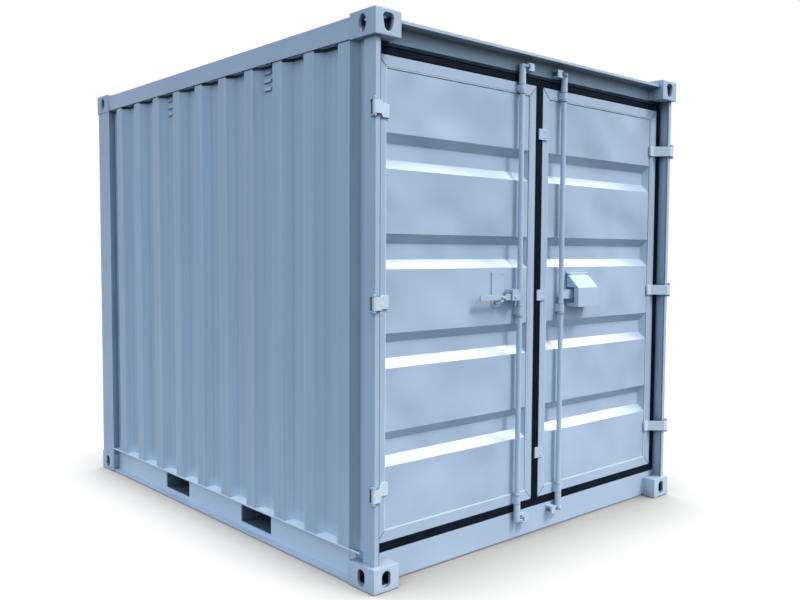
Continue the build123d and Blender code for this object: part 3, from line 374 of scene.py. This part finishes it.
def painted_steel(name, colour, rough, buckle, peel=0.35, buckle_scale=2.2, grain=None, recess=None):
    """Sprayed paint on steel: slight shade changes, painted shade in corners and hollows, painted light and
    shade on the walls' folds when a grain is given, orange peel and gentle buckling of flat sheet.
    """
    material, tree, shader = new_material(name)
    deep = tuple(c * 0.93 for c in colour)
    pale = tuple(min(1, c * 1.05) for c in colour)
    pattern = streaks(tree, grain) if grain else noise(tree, 1.6, 4)
    shade = ramp(tree, pattern, ((0.3, deep), (0.7, pale)))
    if grain:
        shade = painted_light_on_folds(tree, shade)
    # Painted shade in corners and hollows, at the recess's reach, shade colour and span
    tree.links.new(darker_in_recesses(tree, shade, *(recess or ())), shader.inputs["Base Color"])
    roughness = between(tree, noise(tree, 6, 4), 0, 1, rough - 0.06, rough + 0.08)
    tree.links.new(roughness, shader.inputs["Roughness"])
    edge = rolled_normal(tree, 0.003, 3)
    normal = bump(tree, noise(tree, buckle_scale, 1), 1.0, buckle, edge)
    normal = stiff_slopes(tree, normal, edge)
    normal = bump(tree, noise(tree, 320, 2), peel, 0.0002, normal)
    tree.links.new(normal, shader.inputs["Normal"])
    shader.inputs["Specular IOR Level"].default_value = 0.3
    return material


def cast_steel(name, colour, hollow):
    """Painted casting: the same paint over a sand-cast skin, with painted shade deep in its holes."""
    material, tree, shader = new_material(name)
    deep = tuple(c * 0.92 for c in colour)
    shade = ramp(tree, noise(tree, 12, 4), ((0.3, deep), (0.7, colour)))
    cavity = darker_in_recesses(tree, shade, 0.16, hollow, 0.27, 0.4)
    tree.links.new(cavity, shader.inputs["Base Color"])
    shader.inputs["Roughness"].default_value = 0.5
    shader.inputs["Specular IOR Level"].default_value = 0.3
    normal = bump(tree, noise(tree, 180, 4, 0.6), 0.5, 0.0006, rolled_normal(tree, 0.008, 4))
    tree.links.new(normal, shader.inputs["Normal"])
    return material


def rubber_material(name, colour):
    """Black door seal with a dull skin."""
    material, tree, shader = new_material(name)
    dusty = tuple(c * 1.8 for c in colour)
    shade = ramp(tree, noise(tree, 14, 5), ((0.35, colour), (0.8, dusty)))
    tree.links.new(shade, shader.inputs["Base Color"])
    shader.inputs["Roughness"].default_value = 0.6
    shader.inputs["Specular IOR Level"].default_value = 0.015
    normal = bump(tree, noise(tree, 260, 3), 0.3, 0.0003)
    tree.links.new(normal, shader.inputs["Normal"])
    return material


def weld_material():
    """Painted weld: the paint over a lumpy bead."""
    material, tree, shader = new_material("weld_bead")
    pale = tuple(min(1, c * 1.06) for c in PAINT)
    shade = ramp(tree, noise(tree, 30, 3), ((0.3, PAINT), (0.7, pale)))
    tree.links.new(shade, shader.inputs["Base Color"])
    shader.inputs["Roughness"].default_value = 0.42
    shader.inputs["Specular IOR Level"].default_value = 0.3
    tree.links.new(bump(tree, noise(tree, 140, 2), 0.7, 0.0012), shader.inputs["Normal"])
    return material


def seam_material():
    """Dark line of an open joint, also drawn as painted shade in gaps and under parts, with paint bridging it
    in places.
    """
    material, tree, shader = new_material("joint_and_shade_line")
    bridged = tuple(0.55 * dark + 0.45 * paint for dark, paint in zip(SEAM_AND_SHADE, PAINT))
    shade = ramp(tree, noise(tree, 9, 4), ((0.45, SEAM_AND_SHADE), (0.75, bridged)))
    tree.links.new(shade, shader.inputs["Base Color"])
    shader.inputs["Roughness"].default_value = 0.7
    shader.inputs["Specular IOR Level"].default_value = 0.1
    return material


def plywood_material():
    """Oiled hardwood plywood, its grain along the container."""
    material, tree, shader = new_material("floor_plywood")
    stretch = tree.nodes.new("ShaderNodeMapping")
    stretch.inputs["Scale"].default_value = (26, 1.6, 26)
    tree.links.new(object_coordinates(tree), stretch.inputs["Vector"])
    grain = tree.nodes.new("ShaderNodeTexNoise")
    grain.inputs["Scale"].default_value = 2.4
    grain.inputs["Detail"].default_value = 8
    grain.inputs["Roughness"].default_value = 0.62
    tree.links.new(stretch.outputs["Vector"], grain.inputs["Vector"])
    shade = ramp(tree, grain.outputs["Fac"], ((0.32, PLYWOOD_DARK), (0.68, PLYWOOD_LIGHT)))
    turn = tree.nodes.new("ShaderNodeMapping")
    turn.inputs["Rotation"].default_value = (0, 0, radians(90))
    tree.links.new(object_coordinates(tree), turn.inputs["Vector"])
    boards = tree.nodes.new("ShaderNodeTexBrick")
    boards.inputs["Scale"].default_value = 1
    boards.inputs["Brick Width"].default_value = BOARD_LENGTH
    boards.inputs["Row Height"].default_value = BOARD_WIDTH
    boards.inputs["Mortar Size"].default_value = 0.003
    boards.inputs["Color1"].default_value = (1, 1, 1, 1)
    boards.inputs["Color2"].default_value = (0.84, 0.82, 0.8, 1)
    boards.inputs["Mortar"].default_value = (0.16, 0.13, 0.11, 1)
    tree.links.new(turn.outputs["Vector"], boards.inputs["Vector"])
    tree.links.new(multiplied(tree, shade, boards.outputs["Color"]), shader.inputs["Base Color"])
    shader.inputs["Roughness"].default_value = 0.58
    tree.links.new(bump(tree, grain.outputs["Fac"], 0.4, 0.0008), shader.inputs["Normal"])
    return material


MATERIALS = {
    "painted_sheet": painted_steel("painted_sheet", PAINT, 0.36, 0.006),
    "cast_corners": cast_steel("cast_corners", LOWER_CASTING_LIT, CAVITY_SHADE),
    "door_gear": painted_steel("door_gear", PAINT_LIT, 0.38, 0.0),
    "door_rubber": rubber_material("door_rubber", RUBBER),
    "floor_plywood": plywood_material(),
}
UPPER_CAST = cast_steel("upper_cast", PAINT, OPEN_CAVITY_SHADE)
# Posts, bottom rails, roof and the parts underneath take painted shade in their corners at their own reach
POST_PAINT = painted_steel("post_paint", PAINT, 0.38, 0.0, recess=(0.12, POST_SHADE, 0.3, 0.85))
# Bottom rails in the paler paint, as painted light
RAIL_LIT_PAINT = painted_steel("rail_lit_paint", RAIL_LIT, 0.38, 0.003, recess=(0.01, POST_SHADE, 0.1, 0.3))
ROOF_PAINT = painted_steel("roof_paint", ROOF, 0.5, 0.004, recess=(0.03, POST_SHADE, 0.3, 0.9))
# Pockets and crossmembers in dark paint: painted shade
UNDER_SHADE_PAINT = painted_steel("under_shade_paint", UNDER_SHADE, 0.6, 0.0, recess=(0.2, POST_SHADE, 0.1, 0.8))
BOX_PAINT = painted_steel("box_paint", PAINT_LIT, 0.55, 0.004)
DOOR_SHEET = painted_steel("door_sheet", PAINT, 0.3, 0.065, buckle_scale=2.7)
WALL_SHEET = painted_steel("wall_sheet", PAINT, 0.36, 0.006, grain=22)
# Near-white paint as a painted highlight on upward faces at the walls' foot
LIP_HIGHLIGHT_PAINT = painted_steel("lip_highlight_paint", LIP_HIGHLIGHT, 0.3, 0.0)
# Greyer paint and broad painted shade on the door header, for the shade under its hood
HEADER_SHADED_PAINT = painted_steel("header_shaded_paint", HEADER_IN_SHADE, 0.4, 0.0, recess=(0.22, HEADER_SHADE, 0.3, 1.0))
# Hinge straps in the paler paint, as painted light
LIT_STRAP_PAINT = painted_steel("lit_strap_paint", LIT_STRAP, 0.36, 0.0)
# Pale paint as a painted highlight on the panels' beads and the lower castings' upper edges
PALE_HIGHLIGHT = painted_steel("pale_highlight", LIT_STRAP, 0.3, 0.0)
FLAP_RUBBER = rubber_material("flap_rubber", FLAP)
WELD_PAINT = weld_material()
SEAM_AND_SHADE_PAINT = seam_material()
SLOTS = {part["node"]: part["material_slot"] for part in frame["record"]["subparts"]}
for name, node in nodes.items():
    node.data.materials.clear()
    node.data.materials.append(MATERIALS[SLOTS[name]])
OWN_PAINT = (
    (DOOR_SHEET, ("left_door_panel", "right_door_panel")),
    (WALL_SHEET, ("left_wall", "right_wall", "rear_wall")),
    (LIT_STRAP_PAINT, ("left_hinge_straps", "right_hinge_straps")),
    (UPPER_CAST, ("upper_front_castings", "upper_rear_castings")),
    (POST_PAINT, ("left_door_post", "right_door_post", "left_rear_post", "right_rear_post")),
    (RAIL_LIT_PAINT, ("left_bottom_rail", "right_bottom_rail", "rear_bottom_rail")),
    (UNDER_SHADE_PAINT, ("pocket_webs", "pocket_plates", "crossmembers")),
    (HEADER_SHADED_PAINT, ("door_header",)),
    (BOX_PAINT, ("lock_box",)),
    (ROOF_PAINT, ("roof",)),
)
for paint, names in OWN_PAINT:
    for name in names:
        nodes[name].data.materials[0] = paint


def mesh_piece(name, body, slot, vertices, faces, material, crease=35):
    """A mesh that rides on a body, smooth but for edges sharper than that many degrees."""
    mesh = bpy.data.meshes.new(name)
    mesh.from_pydata([tuple(vertex) for vertex in vertices], [], faces)
    mesh.update()
    mesh.shade_smooth()
    mesh.set_sharp_from_angle(angle=radians(crease))
    mesh.materials.append(material)
    piece = bpy.data.objects.new(name, mesh)
    bpy.context.collection.objects.link(piece)
    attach(piece, body)


def turned(name, body, places, profile, material=None, segments=24):
    """Turned pieces: at each (centre, axis) a profile of (radius, distance along the axis)."""
    vertices = []
    faces = []
    for centre, axis in places:
        aim = Vector((0, 0, 1)).rotation_difference(Vector(axis))
        start = len(vertices)
        for radius, along in profile:
            for step in range(segments):
                angle = 2 * pi * step / segments
                point = Vector((radius * cos(angle), radius * sin(angle), along))
                vertices.append(Vector(centre) + aim @ point)
        for ring in range(len(profile) - 1):
            for step in range(segments):
                near = start + ring * segments + step
                far = start + ring * segments + (step + 1) % segments
                faces.append((near, far, far + segments, near + segments))
        last = start + (len(profile) - 1) * segments
        faces.append(tuple(start + step for step in reversed(range(segments))))
        faces.append(tuple(last + step for step in range(segments)))
    mesh_piece(name, body, "door_gear", vertices, faces, material or MATERIALS["door_gear"])


def lines(name, body, paths, radius, material):
    """Thin round beads along paths of points."""
    curve = bpy.data.curves.new(name, "CURVE")
    curve.dimensions = "3D"
    curve.bevel_depth = radius
    curve.bevel_resolution = 2
    curve.use_fill_caps = True
    for path in paths:
        spline = curve.splines.new("POLY")
        spline.points.add(len(path) - 1)
        for target, point in zip(spline.points, path):
            target.co = (*point, 1)
    guide = bpy.data.objects.new(name + "_guide", curve)
    mesh = bpy.data.meshes.new_from_object(guide)
    bpy.data.objects.remove(guide)
    mesh.name = name
    mesh.materials.clear()
    mesh.materials.append(material)
    mesh.shade_smooth()
    piece = bpy.data.objects.new(name, mesh)
    bpy.context.collection.objects.link(piece)
    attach(piece, body)


def around(low, high, section):
    """Vertices and faces of a closed section of (outwards, y) carried round an upright rectangle."""
    corners = (
        (low[0], low[2], -1, -1),
        (high[0], low[2], 1, -1),
        (high[0], high[2], 1, 1),
        (low[0], high[2], -1, 1),
    )
    vertices = []
    for x, z, across, up in corners:
        vertices += [(x + across * out, y, z + up * out) for out, y in section]
    count = len(section)
    faces = []
    for corner in range(4):
        for step in range(count):
            a = corner * count + step
            b = corner * count + (step + 1) % count
            c = (corner + 1) % 4 * count + (step + 1) % count
            d = (corner + 1) % 4 * count + step
            faces.append((a, b, c, d))
    return vertices, faces


def oval(out, y, across, deep, steps=14):
    """Closed oval section of (outwards, y)."""
    turns = [2 * pi * step / steps for step in range(steps)]
    return [(out + across * cos(turn), y - deep * sin(turn)) for turn in turns]


def door_seals():
    """Two rubber lobes round each door and a bulb that presses on the post at its hinged side."""
    for hand, side in (("left", -1), ("right", 1)):
        door = hand + "_door"
        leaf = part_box(door + "_frame")
        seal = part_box(door + "_gasket")
        front = seal[0][1]
        inner = around(leaf[0], leaf[1], oval(LOBE + 0.001, front + 0.003, LOBE, LOBE_DEPTH))
        mesh_piece(door + "_seal_inner", door, "door_rubber", *inner, MATERIALS["door_rubber"], 80)
        reach = seal[1] if side > 0 else (leaf[1][0] + 2 * LOBE, seal[1][1], seal[1][2])
        outer = around(seal[0], reach, oval(-LOBE, front + 0.003, LOBE, LOBE_DEPTH))
        mesh_piece(door + "_seal_outer", door, "door_rubber", *outer, MATERIALS["door_rubber"], 80)
        edge = seal[1][0] - BULB if side > 0 else seal[0][0] + BULB
        run = [(edge, front - 0.002, seal[0][2] + BULB), (edge, front - 0.002, seal[1][2] - BULB)]
        lines(door + "_seal_bulb", door, [run], BULB, MATERIALS["door_rubber"])


def strip(name, door, section, ends, upright, material):
    """Straight strip of rubber with a closed section of (across, y), upright or level."""
    count = len(section)
    vertices = [(across, y, end) if upright else (end, y, across) for end in ends for across, y in section]
    faces = [(i, (i + 1) % count, count + (i + 1) % count, count + i) for i in range(count)]
    faces += [tuple(reversed(range(count))), tuple(range(count, 2 * count))]
    mesh_piece(name, door, "door_rubber", vertices, faces, material, 70)


def seal_flaps():
    """Flat lips of rubber: over the header's lower edge, and over the left door's closing edge."""
    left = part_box("left_door_gasket")
    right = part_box("right_door_gasket")
    meeting = right[0][0]
    runs = {
        "left_door": (left[0][0] + 0.001, meeting - 0.0005),
        "right_door": (meeting + 0.0005, right[1][0] - 0.001),
    }
    for door, ends in runs.items():
        section = oval(HEADER_LOW + FLAP_RISE, DOOR_FACE - 0.0012, FLAP_RISE, 0.0022)
        strip(door + "_seal_flap", door, section, ends, False, FLAP_RUBBER)
    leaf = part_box("left_door_frame")
    section = oval(leaf[1][0] + 0.001, leaf[0][1] - 0.0008, 0.008, 0.003)
    ends = (leaf[0][2], leaf[1][2])
    strip("left_door_seal_lip", "left_door", section, ends, True, MATERIALS["door_rubber"])


def door_seams():
    """Mitred joints at the corners of each door's frame, a dark line of painted shadow along its panel's top
    and right edges, and the bead that holds its panel, painted pale as a highlight.
    """
    for hand in ("left", "right"):
        door = hand + "_door"
        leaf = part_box(door + "_frame")
        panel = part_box(door + "_panel")
        y = leaf[0][1]
        mitres = []
        for end in (0, 1):
            for level in (0, 1):
                outer = (leaf[end][0], y, leaf[level][2])
                inner = (panel[end][0], y, panel[level][2])
                mitres.append([outer, inner])
        lines(door + "_mitres", door, mitres, SEAM_AND_SHADE_LINE, SEAM_AND_SHADE_PAINT)
        left, low = panel[0][0] + PANEL_SHADOW_INSET, panel[0][2] + PANEL_SHADOW_INSET
        right, top = panel[1][0] - PANEL_SHADOW_INSET, panel[1][2] - PANEL_SHADOW_INSET
        y = panel[0][1]
        edge = [(left, y, top), (right, y, top), (right, y, low)]
        lines(door + "_panel_shadow_line", door, [edge], PANEL_SHADOW_LINE, SEAM_AND_SHADE_PAINT)
        fillet = around(panel[0], panel[1], oval(-0.002, panel[0][1] - 0.0005, 0.0045, 0.0045, 10))
        mesh_piece(door + "_panel_bead", door, "painted_sheet", *fillet, PALE_HIGHLIGHT, 80)


def frame_welds():
    """Beads where the frame meets the castings, and seams at the posts' tops and under the top side rails."""
    welds = []
    seams = []
    for side, hand in ((-1, "left"), (1, "right")):
        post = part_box(hand + "_door_post")
        end = 0 if side < 0 else 1
        outer = post[end][0]
        inner = outer - side * POST_FACE
        front = post[0][1]
        back = front + POST_DEPTH
        for level in (0, 1):
            z = post[level][2]
            ring = [(outer - side * 0.001, back, z), (outer, front, z), (inner, front, z), (inner, back, z)]
            (seams if level else welds).append(ring)
        for name in ("_top_rail", "_bottom_rail"):
            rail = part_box(hand + name)
            for y in (rail[0][1], rail[1][1]):
                x = rail[end][0]
                welds.append([(x, y, rail[0][2] + 0.002), (x, y, rail[1][2] - 0.002)])
        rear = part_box(hand + "_rear_post")
        for level in (0, 1):
            z = rear[level][2]
            x = rear[end][0]
            welds.append([(x, rear[0][1] + 0.001, z), (x, rear[1][1], z), (x - side * 0.145, rear[1][1], z)])
        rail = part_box(hand + "_top_rail")
        x = rail[end][0] - side * 0.001
        seams.append([(x, rail[0][1], rail[0][2]), (x, rail[1][1], rail[0][2])])
    header = (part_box("upper_front_castings")[0][2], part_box("door_header")[1][2] - HOOD_DROP)
    sill = (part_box("door_sill")[0][2], min(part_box("door_sill")[1][2], CASTING_TOP))
    for low, high in (header, sill):
        for side in (-1, 1):
            x = side * (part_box("right_door_post")[1][0] - CASTING_REACH)
            welds.append([(x, DOOR_FACE, low + 0.003), (x, DOOR_FACE, high)])
    lines("frame_welds", "container", welds, BEAD, WELD_PAINT)
    lines("frame_seams", "container", seams, POST_TOP_SEAM, SEAM_AND_SHADE_PAINT)


def wall_edges():
    """Bead and sloped trough feet along each side wall's foot, painted pale as a highlight, and dark lines of
    painted shade under its top rail.
    """
    foot = []
    for side, hand in ((-1, "left"), (1, "right")):
        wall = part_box(hand + "_wall")
        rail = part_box(hand + "_bottom_rail")
        end = 0 if side < 0 else 1
        x = rail[end][0] - side * 0.001
        foot.append([(x, wall[0][1], WALL_FOOT), (x, wall[1][1], WALL_FOOT)])
    lines("rail_lips", "container", foot, BEAD, LIP_HIGHLIGHT_PAINT)
    shade_lines = []
    vertices = []
    faces = []
    for side in (-1, 1):
        for rib in range(RIB_COUNT - 1):
            start = FIRST_RIB + rib * RIB_PITCH + RIB_FACE
            stop = FIRST_RIB + (rib + 1) * RIB_PITCH
            slopes = (start + RIB_SLOPE, stop - RIB_SLOPE)
            run = ((FACE_X, start), (TROUGH_X, slopes[0]), (TROUGH_X, slopes[1]), (FACE_X, stop))
            shade_lines.append([(side * x, y, RAIL_LOW - 0.004) for x, y in run])
            base = len(vertices)
            vertices += [(side * x, y, WALL_FOOT) for x, y in run]
            vertices += [(side * x, y, WALL_FOOT + FOOT_RISE) for x, y in run[1:3]]
            foot_faces = ((0, 3, 5, 4), (0, 4, 1), (3, 2, 5), (0, 1, 2, 3), (1, 4, 5, 2))
            faces += [tuple(base + corner for corner in face) for face in foot_faces]
    lines("rail_shade_lines", "container", shade_lines, RAIL_SHADE_LINE, SEAM_AND_SHADE_PAINT)
    mesh_piece("trough_feet", "container", "painted_sheet", vertices, faces, LIP_HIGHLIGHT_PAINT)


def post_lines():
    """Dark lines of painted shade on the door posts: one beside each door, and a short one on the post's side
    at each hinge strap.
    """
    post_shade_lines = []
    for side, hand in ((-1, "left"), (1, "right")):
        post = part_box(hand + "_door_post")
        y = post[0][1] + POST_SHADE_SUNK
        post_shade_lines.append([(side * POST_SHADE_X, y, post[level][2]) for level in (0, 1)])
    lines("post_shade_lines", "container", post_shade_lines, POST_SHADE_LINE, UNDER_SHADE_PAINT)
    hinge_shade_lines = []
    for side in (-1, 1):
        for z in HINGE_ZS:
            hinge_shade_lines.append([(side * POST_SIDE, FRONT + 0.047, z + way * STRAP_HALF) for way in (1, -1)])
    lines("hinge_shade_lines", "container", hinge_shade_lines, HINGE_SHADE_LINE, SEAM_AND_SHADE_PAINT)


def strap_welds():
    """Beads round the hinge straps' ends and the keepers' feet, and the shade under each strap."""
    for side, hand in ((-1, "left"), (1, "right")):
        beads = []
        for z in HINGE_ZS:
            top, low = z + STRAP_HALF, z - STRAP_HALF
            seat, end = side * STRAP_SEAT, side * STRAP_END
            ring = ((seat, top), (end, top), (end, low), (seat, low))
            beads.append([(x, DOOR_FACE, height) for x, height in ring])
        lines(hand + "_strap_welds", hand + "_door", beads, STRAP_BEAD, LIT_STRAP_PAINT)
        plan = ((1.204, 0.0095), (1.175, 0.0095), (STRAP_SEAT, 0.081), (STRAP_END, 0.081))
        lows = [[(side * x, FRONT + depth, z - STRAP_HALF) for x, depth in plan] for z in HINGE_ZS]
        lines(hand + "_strap_shadows", hand + "_door", lows, SEAM_AND_SHADE_LINE, SEAM_AND_SHADE_PAINT)
    staples = []
    for side in (-1, 1):
        for z in KEEPER_ZS:
            for edge in (z - KEEPER_HALF, z + KEEPER_HALF):
                staples.append([(side * x, DOOR_FACE, edge) for x in KEEPER_ENDS])
    lines("keeper_welds", "container", staples, BEAD, WELD_PAINT)


def casting_edges():
    """Upper edges of the lower castings, drawn as pale lines: a painted highlight."""
    edges = []
    for side in (-1, 1):
        for end in (-1, 1):
            across, along = side * (CASTING_SIDE - 0.0035), end * (-FRONT - 0.0035)
            inner = side * (CASTING_SIDE - CASTING_WIDTH + 0.003)
            back = end * (-FRONT - CASTING_LENGTH + 0.003)
            x, y = side * (CASTING_SIDE - EDGE_HIGHLIGHT_INSET), end * (-FRONT - EDGE_HIGHLIGHT_INSET)
            z = CASTING_TOP - EDGE_HIGHLIGHT_DROP
            edges.append([(inner, y, z), (across, y, z)])
            edges.append([(x, along, z), (x, back, z)])
    lines("casting_edges", "container", edges, EDGE_HIGHLIGHT, PALE_HIGHLIGHT)


def fasteners():
    """Pin heads, collars, caps, rivets and the handle's boss, stop pin and knob."""
    up, down, out = (0, 0, 1), (0, 0, -1), (0, -1, 0)
    pins = []
    for side in (-1, 1):
        for z in HINGE_ZS:
            pins.append(((side * HINGE_PIN[0], HINGE_PIN[1], z + HINGE_HALF), up))
            pins.append(((side * HINGE_PIN[0], HINGE_PIN[1], z - HINGE_HALF), down))
    turned("hinge_pin_heads", "container", pins, PIN_HEAD)
    for side, hand in ((-1, "left"), (1, "right")):
        x = side * BAR_X
        rings = [((x, BAR_Y, low - COLLAR_AWAY), up) for low, high, seat in BEARINGS[1:]]
        rings += [((x, BAR_Y, high + COLLAR_AWAY), up) for low, high, seat in BEARINGS[:2]]
        turned(hand + "_bar_collars", hand + "_bar", rings, COLLAR)
        # Dark rings under the middle and top bearings: painted shade
        lows = [((x, BAR_Y, low - SHADE_RING_AWAY), up) for low, high, seat in BEARINGS[1:]]
        turned(hand + "_bar_shade_rings", hand + "_bar", lows, SHADE_RING, SEAM_AND_SHADE_PAINT)
        caps = [((x, BAR_Y, BAR_ENDS[0]), down), ((x, BAR_Y, BAR_ENDS[1]), up)]
        turned(hand + "_bar_caps", hand + "_bar", caps, CAP)
        bolts = []
        for low, high, seat in BEARINGS:
            bolts += [((x + way * 0.026, seat, (low + high) / 2), out) for way in (-1, 1)]
        turned(hand + "_bearing_bolts", hand + "_door", bolts, RIVET)
    turned("handle_boss", "left_bar", [((HANDLE_PIVOT, FRONT + 0.028, HANDLE_Z), out)], BOSS)
    turned("handle_stop", "left_bar", [((-0.2225, FRONT + 0.05, 1.286), down)], STOP)
    turned("handle_knob", "handle", [((HANDLE_KNOB, FRONT + 0.038, HANDLE_Z), out)], KNOB)
    left, right, low, high = CATCH_PLATE
    corners = []
    for x in (left + 0.012, right - 0.012):
        corners += [((x, FRONT + 0.087, z), out) for z in (low + 0.012, high - 0.012)]
    turned("catch_rivets", "left_door", corners, RIVET)
    ends = [((LOCK_BOX[0], *LOCK_PIN), (-1, 0, 0)), ((LOCK_BOX[1], *LOCK_PIN), (1, 0, 0))]
    turned("lock_pin_heads", "right_door", ends, PIN_HEAD)
    clips = [((0.036, FRONT + 0.076, z + way * 0.016), out) for z in HINGE_ZS for way in (-1, 1)]
    turned("clip_rivets", "right_door", clips, RIVET, LIT_STRAP_PAINT)


def floor_screws():
    """Rows of countersunk screws that hold the deck to the crossmembers."""
    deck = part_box("floor")
    across, along = SCREW_MARGINS
    places = []
    for row in range(SCREW_ROWS):
        y = deck[0][1] + along + row * (deck[1][1] - deck[0][1] - 2 * along) / (SCREW_ROWS - 1)
        for column in range(SCREW_COLUMNS):
            x = deck[0][0] + across + column * (deck[1][0] - deck[0][0] - 2 * across) / (SCREW_COLUMNS - 1)
            places.append(((x, y, FLOOR_LEVEL), (0, 0, 1)))
    turned("floor_screws", "container", places, SCREW, segments=12)


def camera():
    """Camera at the photograph's place, aim and roll."""
    azimuth = radians(CAMERA_AZIMUTH)
    elevation = radians(CAMERA_ELEVATION)
    back = Vector((sin(azimuth) * cos(elevation), -cos(azimuth) * cos(elevation), sin(elevation)))
    right = Vector((cos(azimuth), sin(azimuth), 0))
    up = back.cross(right)
    turn = Matrix((right, up, back)).transposed().to_4x4()
    roll = Matrix.Rotation(radians(CAMERA_ROLL), 4, "Z")
    data = bpy.data.cameras.new("camera")
    data.lens = CAMERA_LENS
    data.sensor_width = 36
    data.clip_end = 200
    eye = bpy.data.objects.new("camera", data)
    bpy.context.collection.objects.link(eye)
    eye.matrix_world = Matrix.Translation(CAMERA_PLACE) @ turn @ roll
    bpy.context.scene.camera = eye


def sun_light(name, source, spread, strength, colour=(1, 1, 1)):
    """Even light from far away, coming from that direction and spread over that many degrees."""
    data = bpy.data.lights.new(name, "SUN")
    data.angle = radians(spread)
    data.energy = strength
    data.color = colour
    lamp = bpy.data.objects.new(name, data)
    bpy.context.collection.objects.link(lamp)
    lamp.rotation_euler = (-Vector(source)).to_track_quat("-Z", "Y").to_euler()
    return lamp


def seen_directly(tree):
    """One for camera, glossy and transmission rays, nought for light that bounces off matt surfaces."""
    paths = tree.nodes.new("ShaderNodeLightPath")
    total = paths.outputs["Is Camera Ray"]
    for kind in ("Is Glossy Ray", "Is Transmission Ray"):
        total = calculation(tree, "MAXIMUM", total, paths.outputs[kind])
    return total


def by_ray(tree, bounced, direct):
    """One shader for light that bounces off matt surfaces, another for what is seen directly."""
    mixed = tree.nodes.new("ShaderNodeMixShader")
    tree.links.new(seen_directly(tree), mixed.inputs["Fac"])
    tree.links.new(bounced, mixed.inputs[1])
    tree.links.new(direct, mixed.inputs[2])
    return mixed.outputs["Shader"]


def lighting():
    """A hazy sun at the front right with its glint, and a sky that is brightest halfway up."""
    sun_light("sun", KEY_FROM, KEY_SPREAD, KEY_STRENGTH, KEY_COLOUR)
    glint = sun_light("glint", GLINT_FROM, GLINT_SPREAD, GLINT_STRENGTH)
    glint.visible_diffuse = False
    world = bpy.data.worlds.new("sky")
    bpy.context.scene.world = world
    world.use_nodes = True
    tree = world.node_tree
    tree.nodes.clear()
    height = split(tree, tree.nodes.new("ShaderNodeTexCoord").outputs["Generated"])["Z"]
    bands = ((0.0, SKY_LOW), (0.08, SKY_RIM), (0.52, SKY_MIDDLE), (1.0, SKY_TOP))
    colour = ramp(tree, between(tree, height, *SKY_SPAN, 0, 1), bands)
    light = tree.nodes.new("ShaderNodeBackground")
    tree.links.new(colour, light.inputs["Color"])
    white = tree.nodes.new("ShaderNodeBackground")
    white.inputs["Color"].default_value = (1, 1, 1, 1)
    sky = by_ray(tree, light.outputs["Background"], white.outputs["Background"])
    output = tree.nodes.new("ShaderNodeOutputWorld")
    tree.links.new(sky, output.inputs["Surface"])


def floor_plane():
    """Plain white floor with a soft shadow round the container's foot, mostly painted into its glow by how
    open each spot is and narrowed on the left; it sends some light back up nearby.
    """
    bpy.ops.mesh.primitive_plane_add(size=FLOOR_SIZE, location=(0, 0, 0))
    floor = bpy.context.object
    floor.name = "studio_floor"
    material = bpy.data.materials.new("studio_floor")
    material.use_nodes = True
    tree = material.node_tree
    tree.nodes.clear()
    away = tree.nodes.new("ShaderNodeVectorMath")
    away.operation = "LENGTH"
    tree.links.new(object_coordinates(tree), away.inputs[0])
    distance = between(tree, away.outputs["Value"], *FLOOR_SPAN, 0, 1)
    matt = tree.nodes.new("ShaderNodeBsdfDiffuse")
    tree.links.new(ramp(tree, distance, ((0, FLOOR_NEAR), (1, FLOOR_FAR))), matt.inputs["Color"])
    glow = tree.nodes.new("ShaderNodeEmission")
    # Painted shadow: the glow dims where the container closes the floor in, and is cleared again on the left
    floor_shadow = between(tree, openness(tree, SHADOW_REACH, 16), *SHADOW_SPAN, FLOOR_SHADE, FLOOR_GLOW)
    x = split(tree, object_coordinates(tree))["X"]
    left = between(tree, x, -CASTING_SIDE - LEFT_SHADOW, -CASTING_SIDE, 1, 0)
    missing = calculation(tree, "SUBTRACT", FLOOR_GLOW, floor_shadow)
    cleared = calculation(tree, "MULTIPLY", left, missing)
    tree.links.new(calculation(tree, "ADD", floor_shadow, cleared), glow.inputs["Strength"])
    lit = tree.nodes.new("ShaderNodeBsdfDiffuse")
    lit.inputs["Color"].default_value = (*FLOOR_LIT, 1)
    both = tree.nodes.new("ShaderNodeAddShader")
    tree.links.new(lit.outputs["BSDF"], both.inputs[0])
    tree.links.new(glow.outputs["Emission"], both.inputs[1])
    surface = by_ray(tree, matt.outputs["BSDF"], both.outputs["Shader"])
    output = tree.nodes.new("ShaderNodeOutputMaterial")
    tree.links.new(surface, output.inputs["Surface"])
    floor.data.materials.append(material)


camera()
door_seals()
seal_flaps()
door_seams()
frame_welds()
wall_edges()
post_lines()
strap_welds()
casting_edges()
fasteners()
floor_screws()
lighting()
floor_plane()
bpy.context.scene.view_settings.view_transform = "Standard"
